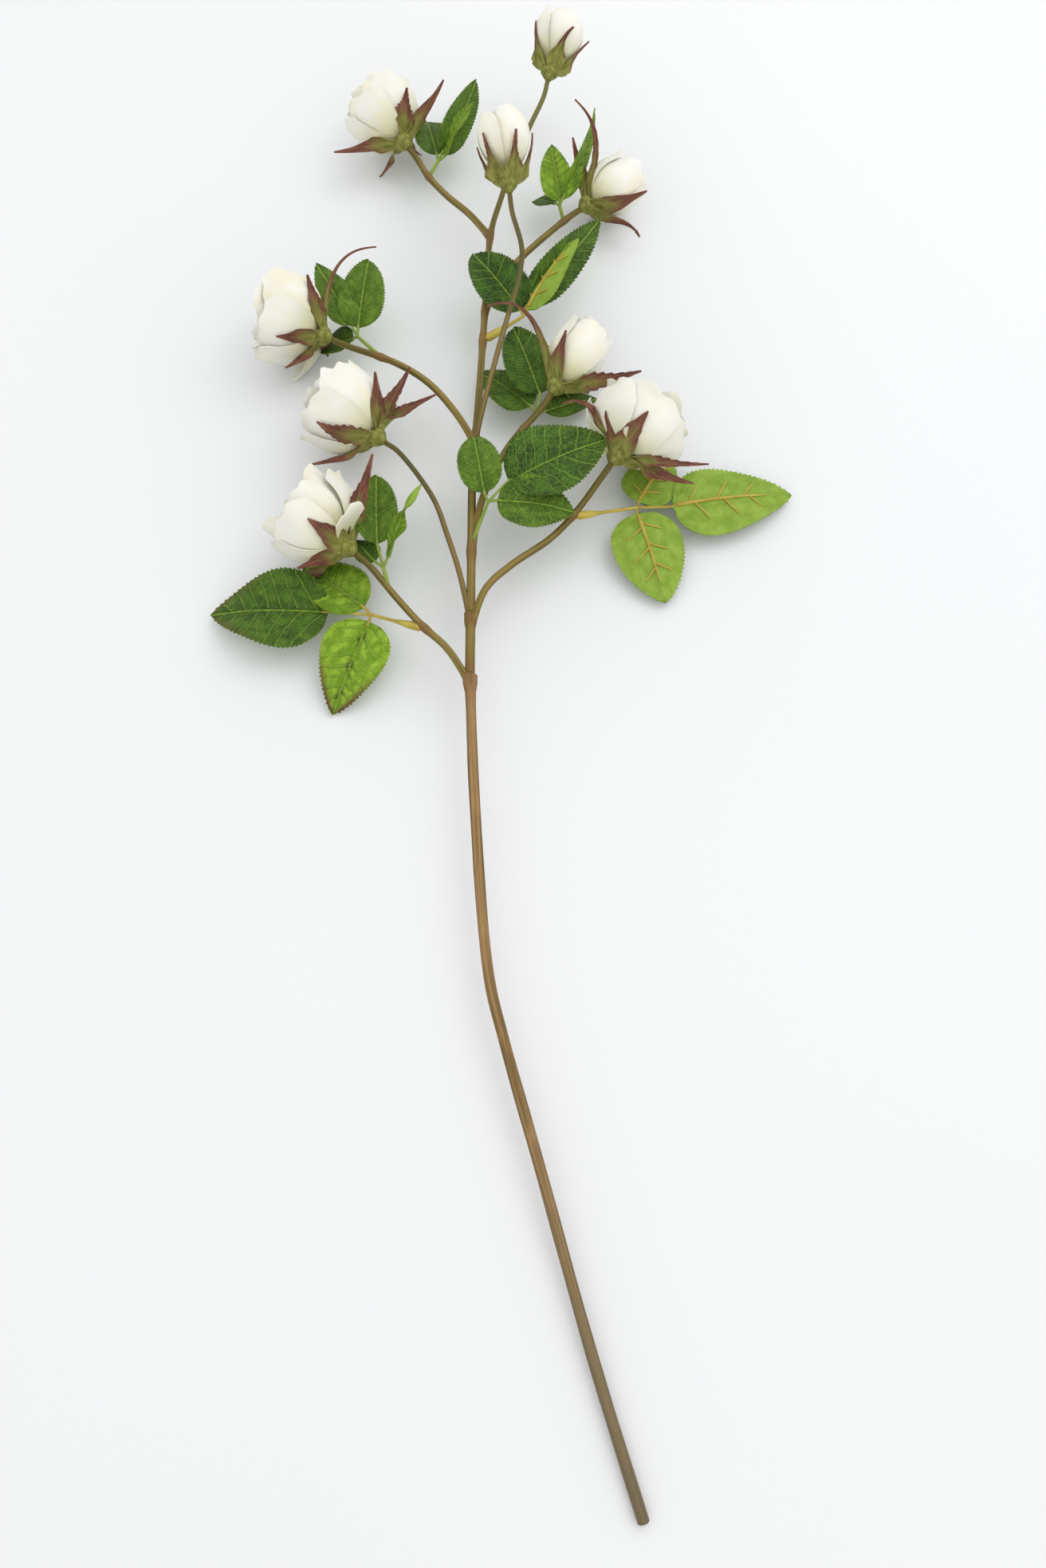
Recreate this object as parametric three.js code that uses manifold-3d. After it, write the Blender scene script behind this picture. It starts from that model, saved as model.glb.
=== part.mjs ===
// A spray of artificial roses, lying on its side as it was laid down. Millimetres, +Z up, resting on Z = 0.
// The stem runs along +Y from its cut end, and +X is to the right of it.
import * as THREE from 'three';
import { mergeVertices } from 'three/addons/utils/BufferGeometryUtils.js';
import Module from 'manifold-3d';

const wasm = await Module();
wasm.setup();

// ---- Driving dimensions ----

const GAP = 0.3; // left free where one piece touches another

const LOWER_STEM_LENGTH = 395; // cut end to fork, measured along Y
const LOWER_STEM_RADIUS = { start: 2.7, end: 2.7 };
const MIDDLE_STEM_RADIUS = { start: 2.6, end: 2.6 };
const UPPER_STEM_RADIUS = { start: 2.4, end: 1.35 };
const SIDE_STEM_RADIUS = { start: 2.0, end: 1.75 };
const THIN_STEM_RADIUS = { start: 1.5, end: 1.4 };
const CUP_WALL = 0.8; // how far a fork's cup stands out from its stem
const CUP_LENGTH = 7;

const HIP_RADIUS = 4.4;
const HIP_LENGTH = 9;
const SEPAL_LENGTH = 21;
const SEPAL_WIDTH = 5;
const SEPAL_THICKNESS = 0.9;
const SEPAL_SINK = 1.2; // how far below the hip's top the sepals spring

const PETAL_WALL = 0.9;
const BLADE_THICKNESS = 0.9;
const RIB_RADIUS = 0.9;

// ---- Colours ----

const BROWN_STEM = { color: 0x8a6d42, roughness: 0.6 };
const OLIVE_STEM = { color: 0x7c7436, roughness: 0.6 };
const CALYX_GREEN = { color: 0x8f9a45, roughness: 0.65 };
const CREAM_PETAL = { color: 0xf2eee0, roughness: 0.9 };
const LEAF_GREEN = { color: 0x4c6b2c, roughness: 0.8 };

// ---- Solids ----

const spray = new THREE.Group();
const point = ([x, y, z]) => new THREE.Vector3(x, y, z);

/** A closed geometry as a solid that can be joined and cut, with its faces turned outwards. */
function solid(geometry) {
  geometry.deleteAttribute('normal');
  geometry.deleteAttribute('uv');
  const merged = mergeVertices(geometry, 1e-3);
  const vertProperties = new Float32Array(merged.attributes.position.array);
  const triVerts = new Uint32Array(merged.index.array);
  const body = new wasm.Manifold(new wasm.Mesh({ numProp: 3, vertProperties, triVerts }));
  if (body.volume() > 0) return body;
  return new wasm.Manifold(new wasm.Mesh({ numProp: 3, vertProperties, triVerts: triVerts.reverse() }));
}

/** One named piece of the spray. */
function piece(name, body, { color, roughness }) {
  const mesh = body.getMesh();
  const geometry = new THREE.BufferGeometry();
  geometry.setAttribute('position', new THREE.BufferAttribute(mesh.vertProperties, 3));
  geometry.setIndex(new THREE.BufferAttribute(mesh.triVerts, 1));
  geometry.computeVertexNormals();
  const material = new THREE.MeshStandardMaterial({ color, roughness, metalness: 0 });
  const made = new THREE.Mesh(geometry, material);
  made.name = name;
  spray.add(made);
}

/** A round bar along a route, whose radius changes evenly from one end to the other. */
function bar(route, startRadius, endRadius, { step = 10, sides = 8 } = {}) {
  const curve = new THREE.CatmullRomCurve3(route, false, 'centripetal');
  const steps = Math.max(1, Math.round(curve.getLength() / step));
  const circle = new THREE.Shape().absarc(0, 0, 1, 0, 2 * Math.PI);
  const geometry = new THREE.ExtrudeGeometry(circle, {
    steps,
    curveSegments: sides / 2,
    extrudePath: curve,
    bevelEnabled: false,
  });
  const centres = curve.getSpacedPoints(steps);
  const corners = geometry.attributes.position;
  const corner = new THREE.Vector3();
  for (let i = 0; i < corners.count; i++) {
    corner.fromBufferAttribute(corners, i);
    const misses = centres.map((centre) => Math.abs(corner.distanceTo(centre) - 1));
    const ring = misses.indexOf(Math.min(...misses));
    const radius = THREE.MathUtils.lerp(startRadius, endRadius, ring / steps);
    corner.sub(centres[ring]).multiplyScalar(radius).add(centres[ring]);
    corners.setXYZ(i, corner.x, corner.y, corner.z);
  }
  return solid(geometry);
}

/** A closed body from rings of corners. A ring of one corner is a point, and other ends are flat. */
function loft(rings) {
  const corners = [];
  const faces = [];
  const starts = rings.map((ring) => {
    corners.push(...ring);
    return corners.length - ring.length;
  });
  for (let i = 0; i + 1 < rings.length; i++) {
    const [here, next] = [rings[i], rings[i + 1]];
    const [a, b] = [starts[i], starts[i + 1]];
    const count = Math.max(here.length, next.length);
    for (let j = 0; j < count; j++) {
      const k = (j + 1) % count;
      if (next.length > 1) faces.push(a + (j % here.length), b + k, b + j);
      if (here.length > 1) faces.push(a + j, a + k, b + (k % next.length));
    }
  }
  const flatEnd = (start, count, turned) => {
    for (let j = 1; j + 1 < count; j++) {
      faces.push(start, start + (turned ? j + 1 : j), start + (turned ? j : j + 1));
    }
  };
  flatEnd(starts[0], rings[0].length, true);
  flatEnd(starts.at(-1), rings.at(-1).length, false);
  const geometry = new THREE.BufferGeometry().setFromPoints(corners);
  geometry.setIndex(faces);
  return solid(geometry);
}

/**
 * A thin pointed blade along a route, folded along its middle. `face` is the way its upper side looks,
 * `belly` is where along it it is widest, and `base` is the least width at its ends, as a share of its width.
 */
function blade(route, width, thickness, { face, fold = 0, steps = 4, belly = 0.42, base = 0.12 }) {
  const curve = new THREE.CatmullRomCurve3(route, false, 'centripetal');
  const rings = [];
  for (let i = 0; i <= steps; i++) {
    const t = i / steps;
    const centre = curve.getPointAt(t);
    const along = curve.getTangentAt(t);
    const side = new THREE.Vector3().crossVectors(along, face).normalize();
    const up = new THREE.Vector3().crossVectors(side, along).normalize();
    const fromWidest = t < belly ? 1 - t / belly : (t - belly) / (1 - belly);
    const half = (width / 2) * Math.max(base, Math.cos((Math.PI / 2) * fromWidest));
    const corner = (across, layer) => {
      const rise = (layer * thickness) / 2 + Math.abs(across) * half * fold;
      return centre.clone().addScaledVector(side, across * half).addScaledVector(up, rise);
    };
    const stations = fold ? [-1, 0, 1] : [-1, 1];
    const under = stations.map((across) => corner(across, -1));
    const over = stations.map((across) => corner(across, 1));
    rings.push([...under, ...over.reverse()]);
  }
  return loft(rings);
}

// ---- Where the heads are ----

// How a head is open: `mouth` is how wide its rim is as a share of the bloom's widest, `layers` how wide each
// layer of petals is as a share of the outermost, and `lean` how far the sepals stand off the head's axis.
const OPEN = {
  mouth: 1.08,
  layers: { outer_petals: 1, middle_petals: 0.76, inner_petals: 0.53, heart: 0.3 },
  lean: 98,
};
const HALF_OPEN = { mouth: 0.86, layers: { outer_petals: 1, inner_petals: 0.66, heart: 0.36 }, lean: 74 };
const BUD = { mouth: 0.45, layers: { outer_petals: 1, heart: 0.55 }, lean: 58 };

// A head points along `heading`, in degrees from +X in the plane, and `tilt` above it. Its neck is where its
// stem ends, and a head whose neck has no height lies on its rim. `rim` and `depth` are the bloom's own size.
const heads = {
  top_bud: { form: BUD, neck: [-38, 766, 49], heading: 76, tilt: 18, rim: 14, depth: 32, turn: 0 },
  side_bud: { form: BUD, neck: [-60, 674, 58], heading: 98, tilt: 24, rim: 13.5, depth: 36, turn: 20 },
  rose_1: { form: OPEN, neck: [-121, 740], heading: 122, tilt: 0, rim: 22, depth: 36, turn: -18 },
  half_rose_1: { form: HALF_OPEN, neck: [-19, 697, 20], heading: 40, tilt: 0, rim: 16, depth: 34, turn: 0 },
  rose_2: { form: OPEN, neck: [-160, 599], heading: 154, tilt: 0, rim: 25, depth: 34, turn: -18 },
  rose_3: { form: OPEN, neck: [-128, 532], heading: 142, tilt: 0, rim: 24, depth: 38, turn: 0 },
  rose_4: { form: OPEN, neck: [-141, 462], heading: 138, tilt: 0, rim: 25, depth: 38, turn: -18 },
  half_rose_2: { form: HALF_OPEN, neck: [-37, 566, 22], heading: 58, tilt: 0, rim: 16.5, depth: 37, turn: 10 },
  rose_5: { form: OPEN, neck: [-5, 516], heading: 60, tilt: 0, rim: 27, depth: 36, turn: 5 },
};
for (const head of Object.values(heads)) {
  if (head.neck.length < 3) head.neck.push(head.rim * head.form.mouth); // it lies on its rim
}
const NECK_RUN = 9; // the last stretch of a stem, straight in line with its head

/** Takes points from a head's own frame, whose axis is +Z from its neck, to the spray's. */
function headFrame({ neck, heading, tilt, turn }) {
  const [yaw, pitch, roll] = [heading, 90 - tilt, turn].map(THREE.MathUtils.degToRad);
  const place = new THREE.Matrix4().makeTranslation(...neck);
  place.multiply(new THREE.Matrix4().makeRotationZ(yaw));
  place.multiply(new THREE.Matrix4().makeRotationY(pitch));
  return place.multiply(new THREE.Matrix4().makeRotationZ(roll));
}

const onHead = (frame, radius, angle, height) =>
  new THREE.Vector3(radius * Math.cos(angle), radius * Math.sin(angle), height).applyMatrix4(frame);

const neckRun = (head) => [-NECK_RUN, 0].map((height) => onHead(headFrame(head), 0, 0, height));

// ---- Main stem: three mouldings end to end ----

const FORK = [-80, 395, 21];
const CROWN = [-80, 430, 22.5]; // where the middle stem opens into three

const lowerStemBend = [[0, 0], [-21, 66], [-45, 150], [-62, 209], [-69, 238], [-77, 330], [-80, 395]];
const lowerStemRise = [LOWER_STEM_RADIUS.start, 5, 10, 13, 14.5, 18.5, FORK[2]];
const stretch = LOWER_STEM_LENGTH / 395;
const routes = {
  lower_stem: lowerStemBend.map(([x, y], i) =>
    point([FORK[0] + (x - FORK[0]) * stretch, FORK[1] + (y - FORK[1]) * stretch, lowerStemRise[i]])),
  middle_stem: [[FORK[0], FORK[1] + GAP, FORK[2]], CROWN].map(point),
  upper_stem: [
    ...[[CROWN[0], CROWN[1] + GAP, CROWN[2]], [-80, 471, 24], [-80, 510, 25], [-77, 560, 27]].map(point),
    ...[[-74, 620, 28], [-71, 671, 31], [-66, 690, 34], [-58, 715, 38], [-48, 739, 43]].map(point),
    ...neckRun(heads.top_bud),
  ],
};

/** A stem's bar, grown all round by `room` where it is to clear what other pieces are cut back to. */
function taperedBar(route, { start, end }, room, fineness = {}) {
  const grown = route.map((at) => at.clone());
  grown[0].addScaledVector(route[0].clone().sub(route[1]).normalize(), room);
  grown.at(-1).addScaledVector(route.at(-1).clone().sub(route.at(-2)).normalize(), room);
  return bar(grown, start + room, end + room, fineness);
}

/** A stem's bar with the open cup of a fork around its far end. */
function stemWithCup(route, radius, room) {
  const rod = taperedBar(route, radius, room, { step: 14 });
  const [before, end] = route.slice(-2);
  const foot = end.clone().add(before.clone().sub(end).setLength(CUP_LENGTH));
  const cup = { start: radius.end, end: radius.end + CUP_WALL };
  return rod.add(taperedBar([foot, end], cup, room));
}

const mainStems = {
  lower_stem: (room) => stemWithCup(routes.lower_stem, LOWER_STEM_RADIUS, room),
  middle_stem: (room) => stemWithCup(routes.middle_stem, MIDDLE_STEM_RADIUS, room),
  upper_stem: (room) => taperedBar(routes.upper_stem, UPPER_STEM_RADIUS, room, { step: 12 }),
};
let stemRoom; // the stems so far with the gap around them, which later pieces are cut back to
for (const [name, stem] of Object.entries(mainStems)) {
  piece(name, stem(0), name === 'upper_stem' ? OLIVE_STEM : BROWN_STEM);
  stemRoom = stemRoom ? stemRoom.add(stem(GAP)) : stem(GAP);
}

// ---- Side stems ----

// Each starts in the middle of the stem that it leaves, is cut back to that stem's surface, and ends at its
// head's neck. The first point is moved onto the stem that it leaves.
const sideStems = {
  side_bud: { from: 'upper_stem', thin: true, by: [
    [-78, 534, 26], [-72, 559, 36], [-65, 584, 44], [-60, 602, 48], [-55, 620, 52], [-53, 637, 55]] },
  rose_1: { from: 'upper_stem', by: [
    [-72, 668, 30], [-84, 686, 29], [-97, 700, 28], [-109, 717, 26]] },
  half_rose_1: { from: 'upper_stem', by: [
    [-74, 618, 28], [-69, 633, 28], [-62, 645, 27], [-50, 662, 25]] },
  rose_2: { from: 'upper_stem', by: [
    [-79, 531, 26], [-90, 551, 27], [-105, 570, 27], [-123, 583, 27]] },
  rose_3: { from: 'middle_stem', thin: true, by: [
    [-80, 424, 23], [-86, 452, 24], [-93, 475, 25], [-101, 497, 26]] },
  rose_4: { from: 'lower_stem', by: [
    [-80, 391, 21.5], [-92, 409, 23], [-105, 421, 25], [-119, 437, 26]] },
  half_rose_2: { from: 'upper_stem', by: [
    [-80, 466, 24], [-76, 490, 26], [-71, 506, 27], [-60, 530, 26]] },
  rose_5: { from: 'middle_stem', by: [
    [-80, 422, 22], [-72, 443, 25], [-59, 456, 26], [-38, 471, 28], [-26, 484, 29]] },
};

/** What goes on outside of `room` when a body is cut back from it. */
function cutBack(body, room) {
  const parts = body.subtract(room).decompose();
  return parts.reduce((most, part) => (part.volume() > most.volume() ? part : most));
}

/** The point of a stem's middle line that lies nearest to a place. */
function nearestOnStem(stem, place) {
  const line = new THREE.CatmullRomCurve3(routes[stem], false, 'centripetal').getSpacedPoints(400);
  return line.reduce((best, at) => (at.distanceTo(place) < best.distanceTo(place) ? at : best));
}

const mainRoom = stemRoom;
for (const [head, { from, thin, by }] of Object.entries(sideStems)) {
  const [start, ...rest] = by.map(point);
  const name = `${head}_stem`;
  const radius = thin ? THIN_STEM_RADIUS : SIDE_STEM_RADIUS;
  routes[name] = [nearestOnStem(from, start), ...rest, ...neckRun(heads[head])];
  const stem = (room) => taperedBar(routes[name], radius, room, { step: 9 });
  piece(name, cutBack(stem(0), mainRoom), OLIVE_STEM);
  stemRoom = stemRoom.add(stem(GAP));
}

// ---- Flower heads ----

/** How wide a bloom is, as a share of its widest, at a share of the way from its base to its rim. */
function bloomProfile(up, mouth) {
  const widest = 0.6;
  if (up < widest) return Math.sin((Math.PI / 2) * (up / widest)) ** 0.8;
  return THREE.MathUtils.lerp(1, mouth, (up - widest) / (1 - widest));
}

/** A ring of petals whose feet join in one disc, as a cup with a lobed rim. */
function petalCup(frame, { base, radius, depth, mouth, segments, phase }) {
  const lobes = 5;
  const notch = 0.1; // how far the rim dips between two petals
  const stations = [0.15, 0.42, 0.75, 1];
  const ring = (up, wall) =>
    Array.from({ length: segments }, (_, j) => {
      const angle = (2 * Math.PI * j) / segments;
      const dip = notch * up * (0.5 - 0.5 * Math.cos(lobes * angle));
      const height = base + wall + (depth - wall) * up * (1 - dip);
      return onHead(frame, (radius - wall) * bloomProfile(up, mouth), angle + phase, height);
    });
  const side = (wall) => [[onHead(frame, 0, 0, base + wall)], ...stations.map((up) => ring(up, wall))];
  return loft([...side(0), ...side(PETAL_WALL).reverse()]);
}

/** The tightly rolled petals in the middle of a head, as one closed bud. */
function petalHeart(frame, { base, radius, depth }) {
  const segments = 10;
  const stations = [[0.12, 0.5], [0.4, 1], [0.72, 0.88], [0.95, 0.4]]; // height, width
  const rings = stations.map(([up, wide]) =>
    Array.from({ length: segments }, (_, j) =>
      onHead(frame, radius * wide, (2 * Math.PI * j) / segments, base + depth * up),
    ),
  );
  return loft([[onHead(frame, 0, 0, base)], ...rings, [onHead(frame, 0, 0, base + depth)]]);
}

/** The swollen receptacle under a bloom with its five sepals, moulded in one. */
function calyx(frame, neckRadius, lean) {
  const side = [[0.8, 0.3], [1, 0.6], [0.85, 1]].map(([r, h]) => [HIP_RADIUS * r, HIP_LENGTH * h]);
  const outline = [[0, GAP], [neckRadius, GAP], ...side, [0, HIP_LENGTH]];
  const hip = new THREE.LatheGeometry(outline.map(([r, h]) => new THREE.Vector2(r, h)), 8);
  hip.rotateX(Math.PI / 2);
  let body = solid(hip.applyMatrix4(frame));
  const slope = THREE.MathUtils.degToRad(lean);
  const face = onHead(frame, 0, 0, 1).sub(onHead(frame, 0, 0, 0));
  for (let j = 0; j < 5; j++) {
    const reach = (length) => {
      const out = HIP_RADIUS * 0.7 + length * Math.sin(slope);
      const height = HIP_LENGTH - SEPAL_SINK + length * Math.cos(slope);
      return onHead(frame, out, (2 * Math.PI * (j + 0.5)) / 5, height);
    };
    const route = [reach(0), reach(SEPAL_LENGTH / 2), reach(SEPAL_LENGTH)];
    body = body.add(blade(route, SEPAL_WIDTH, SEPAL_THICKNESS, { face, steps: 2, belly: 0.3, base: 0.4 }));
  }
  return body;
}

for (const [name, head] of Object.entries(heads)) {
  const frame = headFrame(head);
  const { mouth, layers, lean } = head.form;
  const stemRadius = name === 'top_bud' ? UPPER_STEM_RADIUS : SIDE_STEM_RADIUS;
  piece(`${name}_calyx`, calyx(frame, stemRadius.end, lean), CALYX_GREEN);
  Object.entries(layers).forEach(([layer, share], i) => {
    const base = HIP_LENGTH + GAP + i * (PETAL_WALL + GAP);
    const size = { base, radius: head.rim * share, depth: head.depth * (1 - 0.05 * i), mouth };
    const cup = { ...size, segments: i ? 10 : 15, phase: (i * Math.PI) / 5 };
    const body = layer === 'heart' ? petalHeart(frame, size) : petalCup(frame, cup);
    piece(`${name}_${layer}`, body, CREAM_PETAL);
  });
}

// ---- Leaves ----

// Each leaf is a moulded rib from its stem to a node, with three leaflets bonded to it. A leaflet runs from
// its foot to its tip, and `turn` leans its upper side over. On a head's stem, heights are measured from that
// head's neck.
const leaves = {
  leaf_1: { on: 'rose_1', by: [[-109, 716, 3], [-103, 728, 2]], leaflets: [
    { foot: [-104, 733, 2], tip: [-112, 773, -10], width: 20, turn: 0 },
    { foot: [-101, 733, 3], tip: [-80, 788, 6], width: 18, turn: 40 },
    { foot: [-99, 730, 4], tip: [-83, 763, 13], width: 13, turn: -50 }] },
  leaf_2: { on: 'half_rose_1', by: [[-27, 688, 1], [-31, 694, 7]], leaflets: [
    { foot: [-31, 696, 8], tip: [-36, 733, 14], width: 19, turn: 0 },
    { foot: [-29, 698, 9], tip: [-8, 756, 18], width: 13, turn: 58 },
    { foot: [-34, 697, 6], tip: [-46, 712, -8], width: 14, turn: 0 }] },
  leaf_3: { on: 'upper', by: [[-75, 598, 28], [-52, 613, 30]], leaflets: [
    { foot: [-54, 617, 30], tip: [-80, 651, 36], width: 29, turn: 0 },
    { foot: [-50, 622, 30], tip: [-7, 680, 30], width: 24, turn: 28 },
    { foot: [-50, 616, 31], tip: [-21, 659, 39], width: 20, turn: -52 }] },
  leaf_4: { on: 'rose_2', by: [[-132, 588, 0], [-146, 602, -1]], leaflets: [
    { foot: [-146, 608, -1], tip: [-141, 651, 5], width: 26, turn: 0 },
    { foot: [-150, 610, -1], tip: [-171, 648, 6], width: 20, turn: 0 },
    { foot: [-148, 601, -4], tip: [-168, 606, -21], width: 15, turn: 0 }] },
  leaf_5: { on: 'half_rose_2', by: [[-53, 543, 3], [-45, 555, -2]], leaflets: [
    { foot: [-43, 568, -2], tip: [-58, 610, 3], width: 26, turn: 0 },
    { foot: [-48, 562, -5], tip: [-78, 592, -14], width: 25, turn: 0 },
    { foot: [-43, 553, -5], tip: [-8, 573, -17], width: 12, turn: 0 }] },
  leaf_6: { on: 'upper', by: [[-80, 469, 25], [-71, 488, 37]], leaflets: [
    { foot: [-73, 493, 38], tip: [-79, 526, 42], width: 27, turn: 0 },
    { foot: [-60, 500, 38], tip: [-8, 527, 37], width: 42, turn: 0 },
    { foot: [-66, 489, 37], tip: [-25, 484, 35], width: 31, turn: 0 }] },
  leaf_7: { on: 'rose_5', by: [[-26, 484, 0], [10, 499, -15]], leaflets: [
    { foot: [30, 501, -17], tip: [97, 512, -24], width: 41, turn: 0 },
    { foot: [10, 496, -16], tip: [25, 445, -24], width: 39, turn: 0 },
    { foot: [13, 503, -18], tip: [32, 532, -26], width: 20, turn: 0 }] },
  leaf_8: { on: 'rose_4', by: [[-124, 442, -1], [-126, 453, 2]], leaflets: [
    { foot: [-130, 468, 1], tip: [-132, 511, 1], width: 23, turn: 0 },
    { foot: [-124, 458, 3], tip: [-107, 500, 7], width: 9, turn: -60 },
    { foot: [-130, 456, 1], tip: [-139, 476, -2], width: 10, turn: 0 }] },
  leaf_9: { on: 'rose_4', by: [[-104, 419, -2], [-133, 431, -9]], leaflets: [
    { foot: [-156, 434, -12], tip: [-221, 437, -19], width: 45, turn: 0 },
    { foot: [-134, 428, -11], tip: [-153, 380, -23], width: 36, turn: 0 },
    { foot: [-137, 435, -13], tip: [-171, 458, -23], width: 24, turn: 0 }] },
};

const UP = new THREE.Vector3(0, 0, 1);

for (const [name, { on, by, leaflets }] of Object.entries(leaves)) {
  const level = on in heads ? heads[on].neck[2] : 0;
  const raised = ([x, y, z]) => point([x, y, z + level]);
  const [near, node] = by.map(raised);
  let body = bar([nearestOnStem(`${on}_stem`, near), node], RIB_RADIUS, RIB_RADIUS, { step: 40, sides: 4 });
  for (const { foot, tip, width, turn } of leaflets) {
    const [start, end] = [foot, tip].map(raised);
    const along = end.clone().sub(start);
    const face = UP.clone().applyAxisAngle(along.clone().normalize(), THREE.MathUtils.degToRad(turn));
    const middle = start.clone().addScaledVector(along, 0.5).addScaledVector(face, along.length() * 0.05);
    const stalkEnd = start.clone().addScaledVector(along, 0.06);
    body = body.add(bar([node, stalkEnd], RIB_RADIUS, RIB_RADIUS, { step: 40, sides: 4 }));
    body = body.add(blade([start, middle, end], width, BLADE_THICKNESS, { face, fold: 0.15 }));
  }
  piece(name, cutBack(body, stemRoom), LEAF_GREEN);
}

// ---- Frame: the origin is under the middle of the spray, on the surface it lies on ----

const box = new THREE.Box3().setFromObject(spray);
const middle = box.getCenter(new THREE.Vector3());
spray.position.set(-middle.x, -middle.y, -box.min.z);

export default spray;
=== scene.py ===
import math

import bpy
import numpy as np
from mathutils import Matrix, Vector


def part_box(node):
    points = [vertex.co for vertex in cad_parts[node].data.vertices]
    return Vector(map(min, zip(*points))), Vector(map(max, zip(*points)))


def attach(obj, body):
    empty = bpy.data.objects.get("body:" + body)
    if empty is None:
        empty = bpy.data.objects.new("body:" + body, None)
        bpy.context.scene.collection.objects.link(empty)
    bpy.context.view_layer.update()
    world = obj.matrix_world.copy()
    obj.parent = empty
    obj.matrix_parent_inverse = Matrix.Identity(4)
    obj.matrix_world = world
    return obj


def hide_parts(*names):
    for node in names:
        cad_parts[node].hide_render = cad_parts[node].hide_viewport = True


# A spray of nine artificial roses and nine leaves, laid down on its side. Sizes are in millimetres from the
# middle of the stem's cut end, with +Y along the stem, +X to its right and +Z up from the surface that the
# spray lies on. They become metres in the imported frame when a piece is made.

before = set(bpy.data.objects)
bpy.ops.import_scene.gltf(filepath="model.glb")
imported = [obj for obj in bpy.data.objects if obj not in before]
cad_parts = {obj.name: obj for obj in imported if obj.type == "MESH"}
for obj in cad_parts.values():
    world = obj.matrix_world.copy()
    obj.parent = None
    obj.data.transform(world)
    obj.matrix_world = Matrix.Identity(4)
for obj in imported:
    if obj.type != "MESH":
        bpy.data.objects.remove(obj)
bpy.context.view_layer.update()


# ---- Lower stem ----
# The long cane from the cut end to the fork: a steel wire with brown plastic moulded over it. Its far end is
# a short open cup, into which the middle stem is pushed.

MM = 0.001
LOWER_RADIUS = (2.7, 2.7)
LOWER_ROUTE = [
    (0, 0, LOWER_RADIUS[0]), (-21, 66, 5), (-45, 150, 10), (-62, 209, 13),
    (-69, 238, 14.5), (-77, 330, 18.5), (-80, 395, 21),
]
LOWER_KNOT = (-80, 391, 21)
KNOT_SWELL = 0.35
KNOT_REACH = 9
CUP_WALL = 0.8
CUP_LENGTH = 7
CUP_FLARE = 0.25

# A bar's ends are bevelled by this share of its radius, and edges over this many degrees are drawn sharp.
CUT_BEVEL = 0.25
SHARP_EDGE = 50

# How deep the ripples along the moulded cane are, and over what length each turns once round.
RIPPLES = [(0.05, 9), (0.04, 23)]

# Nothing of the spray is made lower than this above the surface.
LOWEST = 0.05

stem_low, stem_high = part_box("lower_stem")
cut_lean = math.atan2(-LOWER_ROUTE[1][0], LOWER_ROUTE[1][1])
CUT_END = np.array([
    stem_high.x / MM - LOWER_RADIUS[0] * math.cos(cut_lean),
    stem_low.y / MM + LOWER_RADIUS[0] * math.sin(cut_lean),
    0,
])


def between(here, there, share):
    """What lies a share of the way from one value or place to another."""
    return here + (there - here) * share


def eased(value, start, end):
    """0 before start and 1 after end, with a soft rise from one to the other."""
    share = np.clip((value - start) / (end - start), 0, 1)
    return share * share * (3 - 2 * share)


def unit(vectors):
    """Vectors of length 1 in the same directions."""
    return vectors / np.linalg.norm(vectors, axis=-1, keepdims=True)


def smooth_route(points, step):
    """Evenly spaced places on the smooth line through some points."""
    known = [np.array(point, float) for point in points]
    known = [2 * known[0] - known[1], *known, 2 * known[-1] - known[-2]]
    line = []
    steps = 12
    for a, b, c, d in zip(known, known[1:], known[2:], known[3:]):
        gaps = [np.linalg.norm(q - p) ** 0.5 for p, q in ((a, b), (b, c), (c, d))]
        t0, t1, t2, t3 = 0, gaps[0], gaps[0] + gaps[1], sum(gaps)
        for at in np.linspace(t1, t2, steps, endpoint=False):
            ab = between(a, b, (at - t0) / (t1 - t0))
            bc = between(b, c, (at - t1) / (t2 - t1))
            cd = between(c, d, (at - t2) / (t3 - t2))
            abc = between(ab, bc, (at - t0) / (t2 - t0))
            bcd = between(bc, cd, (at - t1) / (t3 - t1))
            line.append(between(abc, bcd, (at - t1) / (t2 - t1)))
    line = np.array([*line, known[-2]])
    passed = lengths_along(line)
    wanted = np.linspace(0, passed[-1], max(3, round(passed[-1] / step) + 1))
    return np.stack([np.interp(wanted, passed, line[:, axis]) for axis in range(3)], axis=1)


def lengths_along(route):
    """How far along a route each of its places lies."""
    return np.concatenate([[0], np.cumsum(np.linalg.norm(np.diff(route, axis=0), axis=1))])


class Shape:
    """The corners and faces of one piece, added part by part, with named values on the corners."""

    def __init__(self):
        self.corners = []
        self.faces = []
        self.marks = {}

    def add(self, corners, faces, **marks):
        start = sum(len(part) for part in self.corners)
        self.corners.append(corners)
        self.faces += [tuple(start + corner for corner in face) for face in faces]
        for name, value in marks.items():
            value = np.asarray(value, float)
            size = (len(corners), 3) if value.shape[-1:] == (3,) else (len(corners),)
            self.marks.setdefault(name, []).append(np.broadcast_to(value, size))


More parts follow.
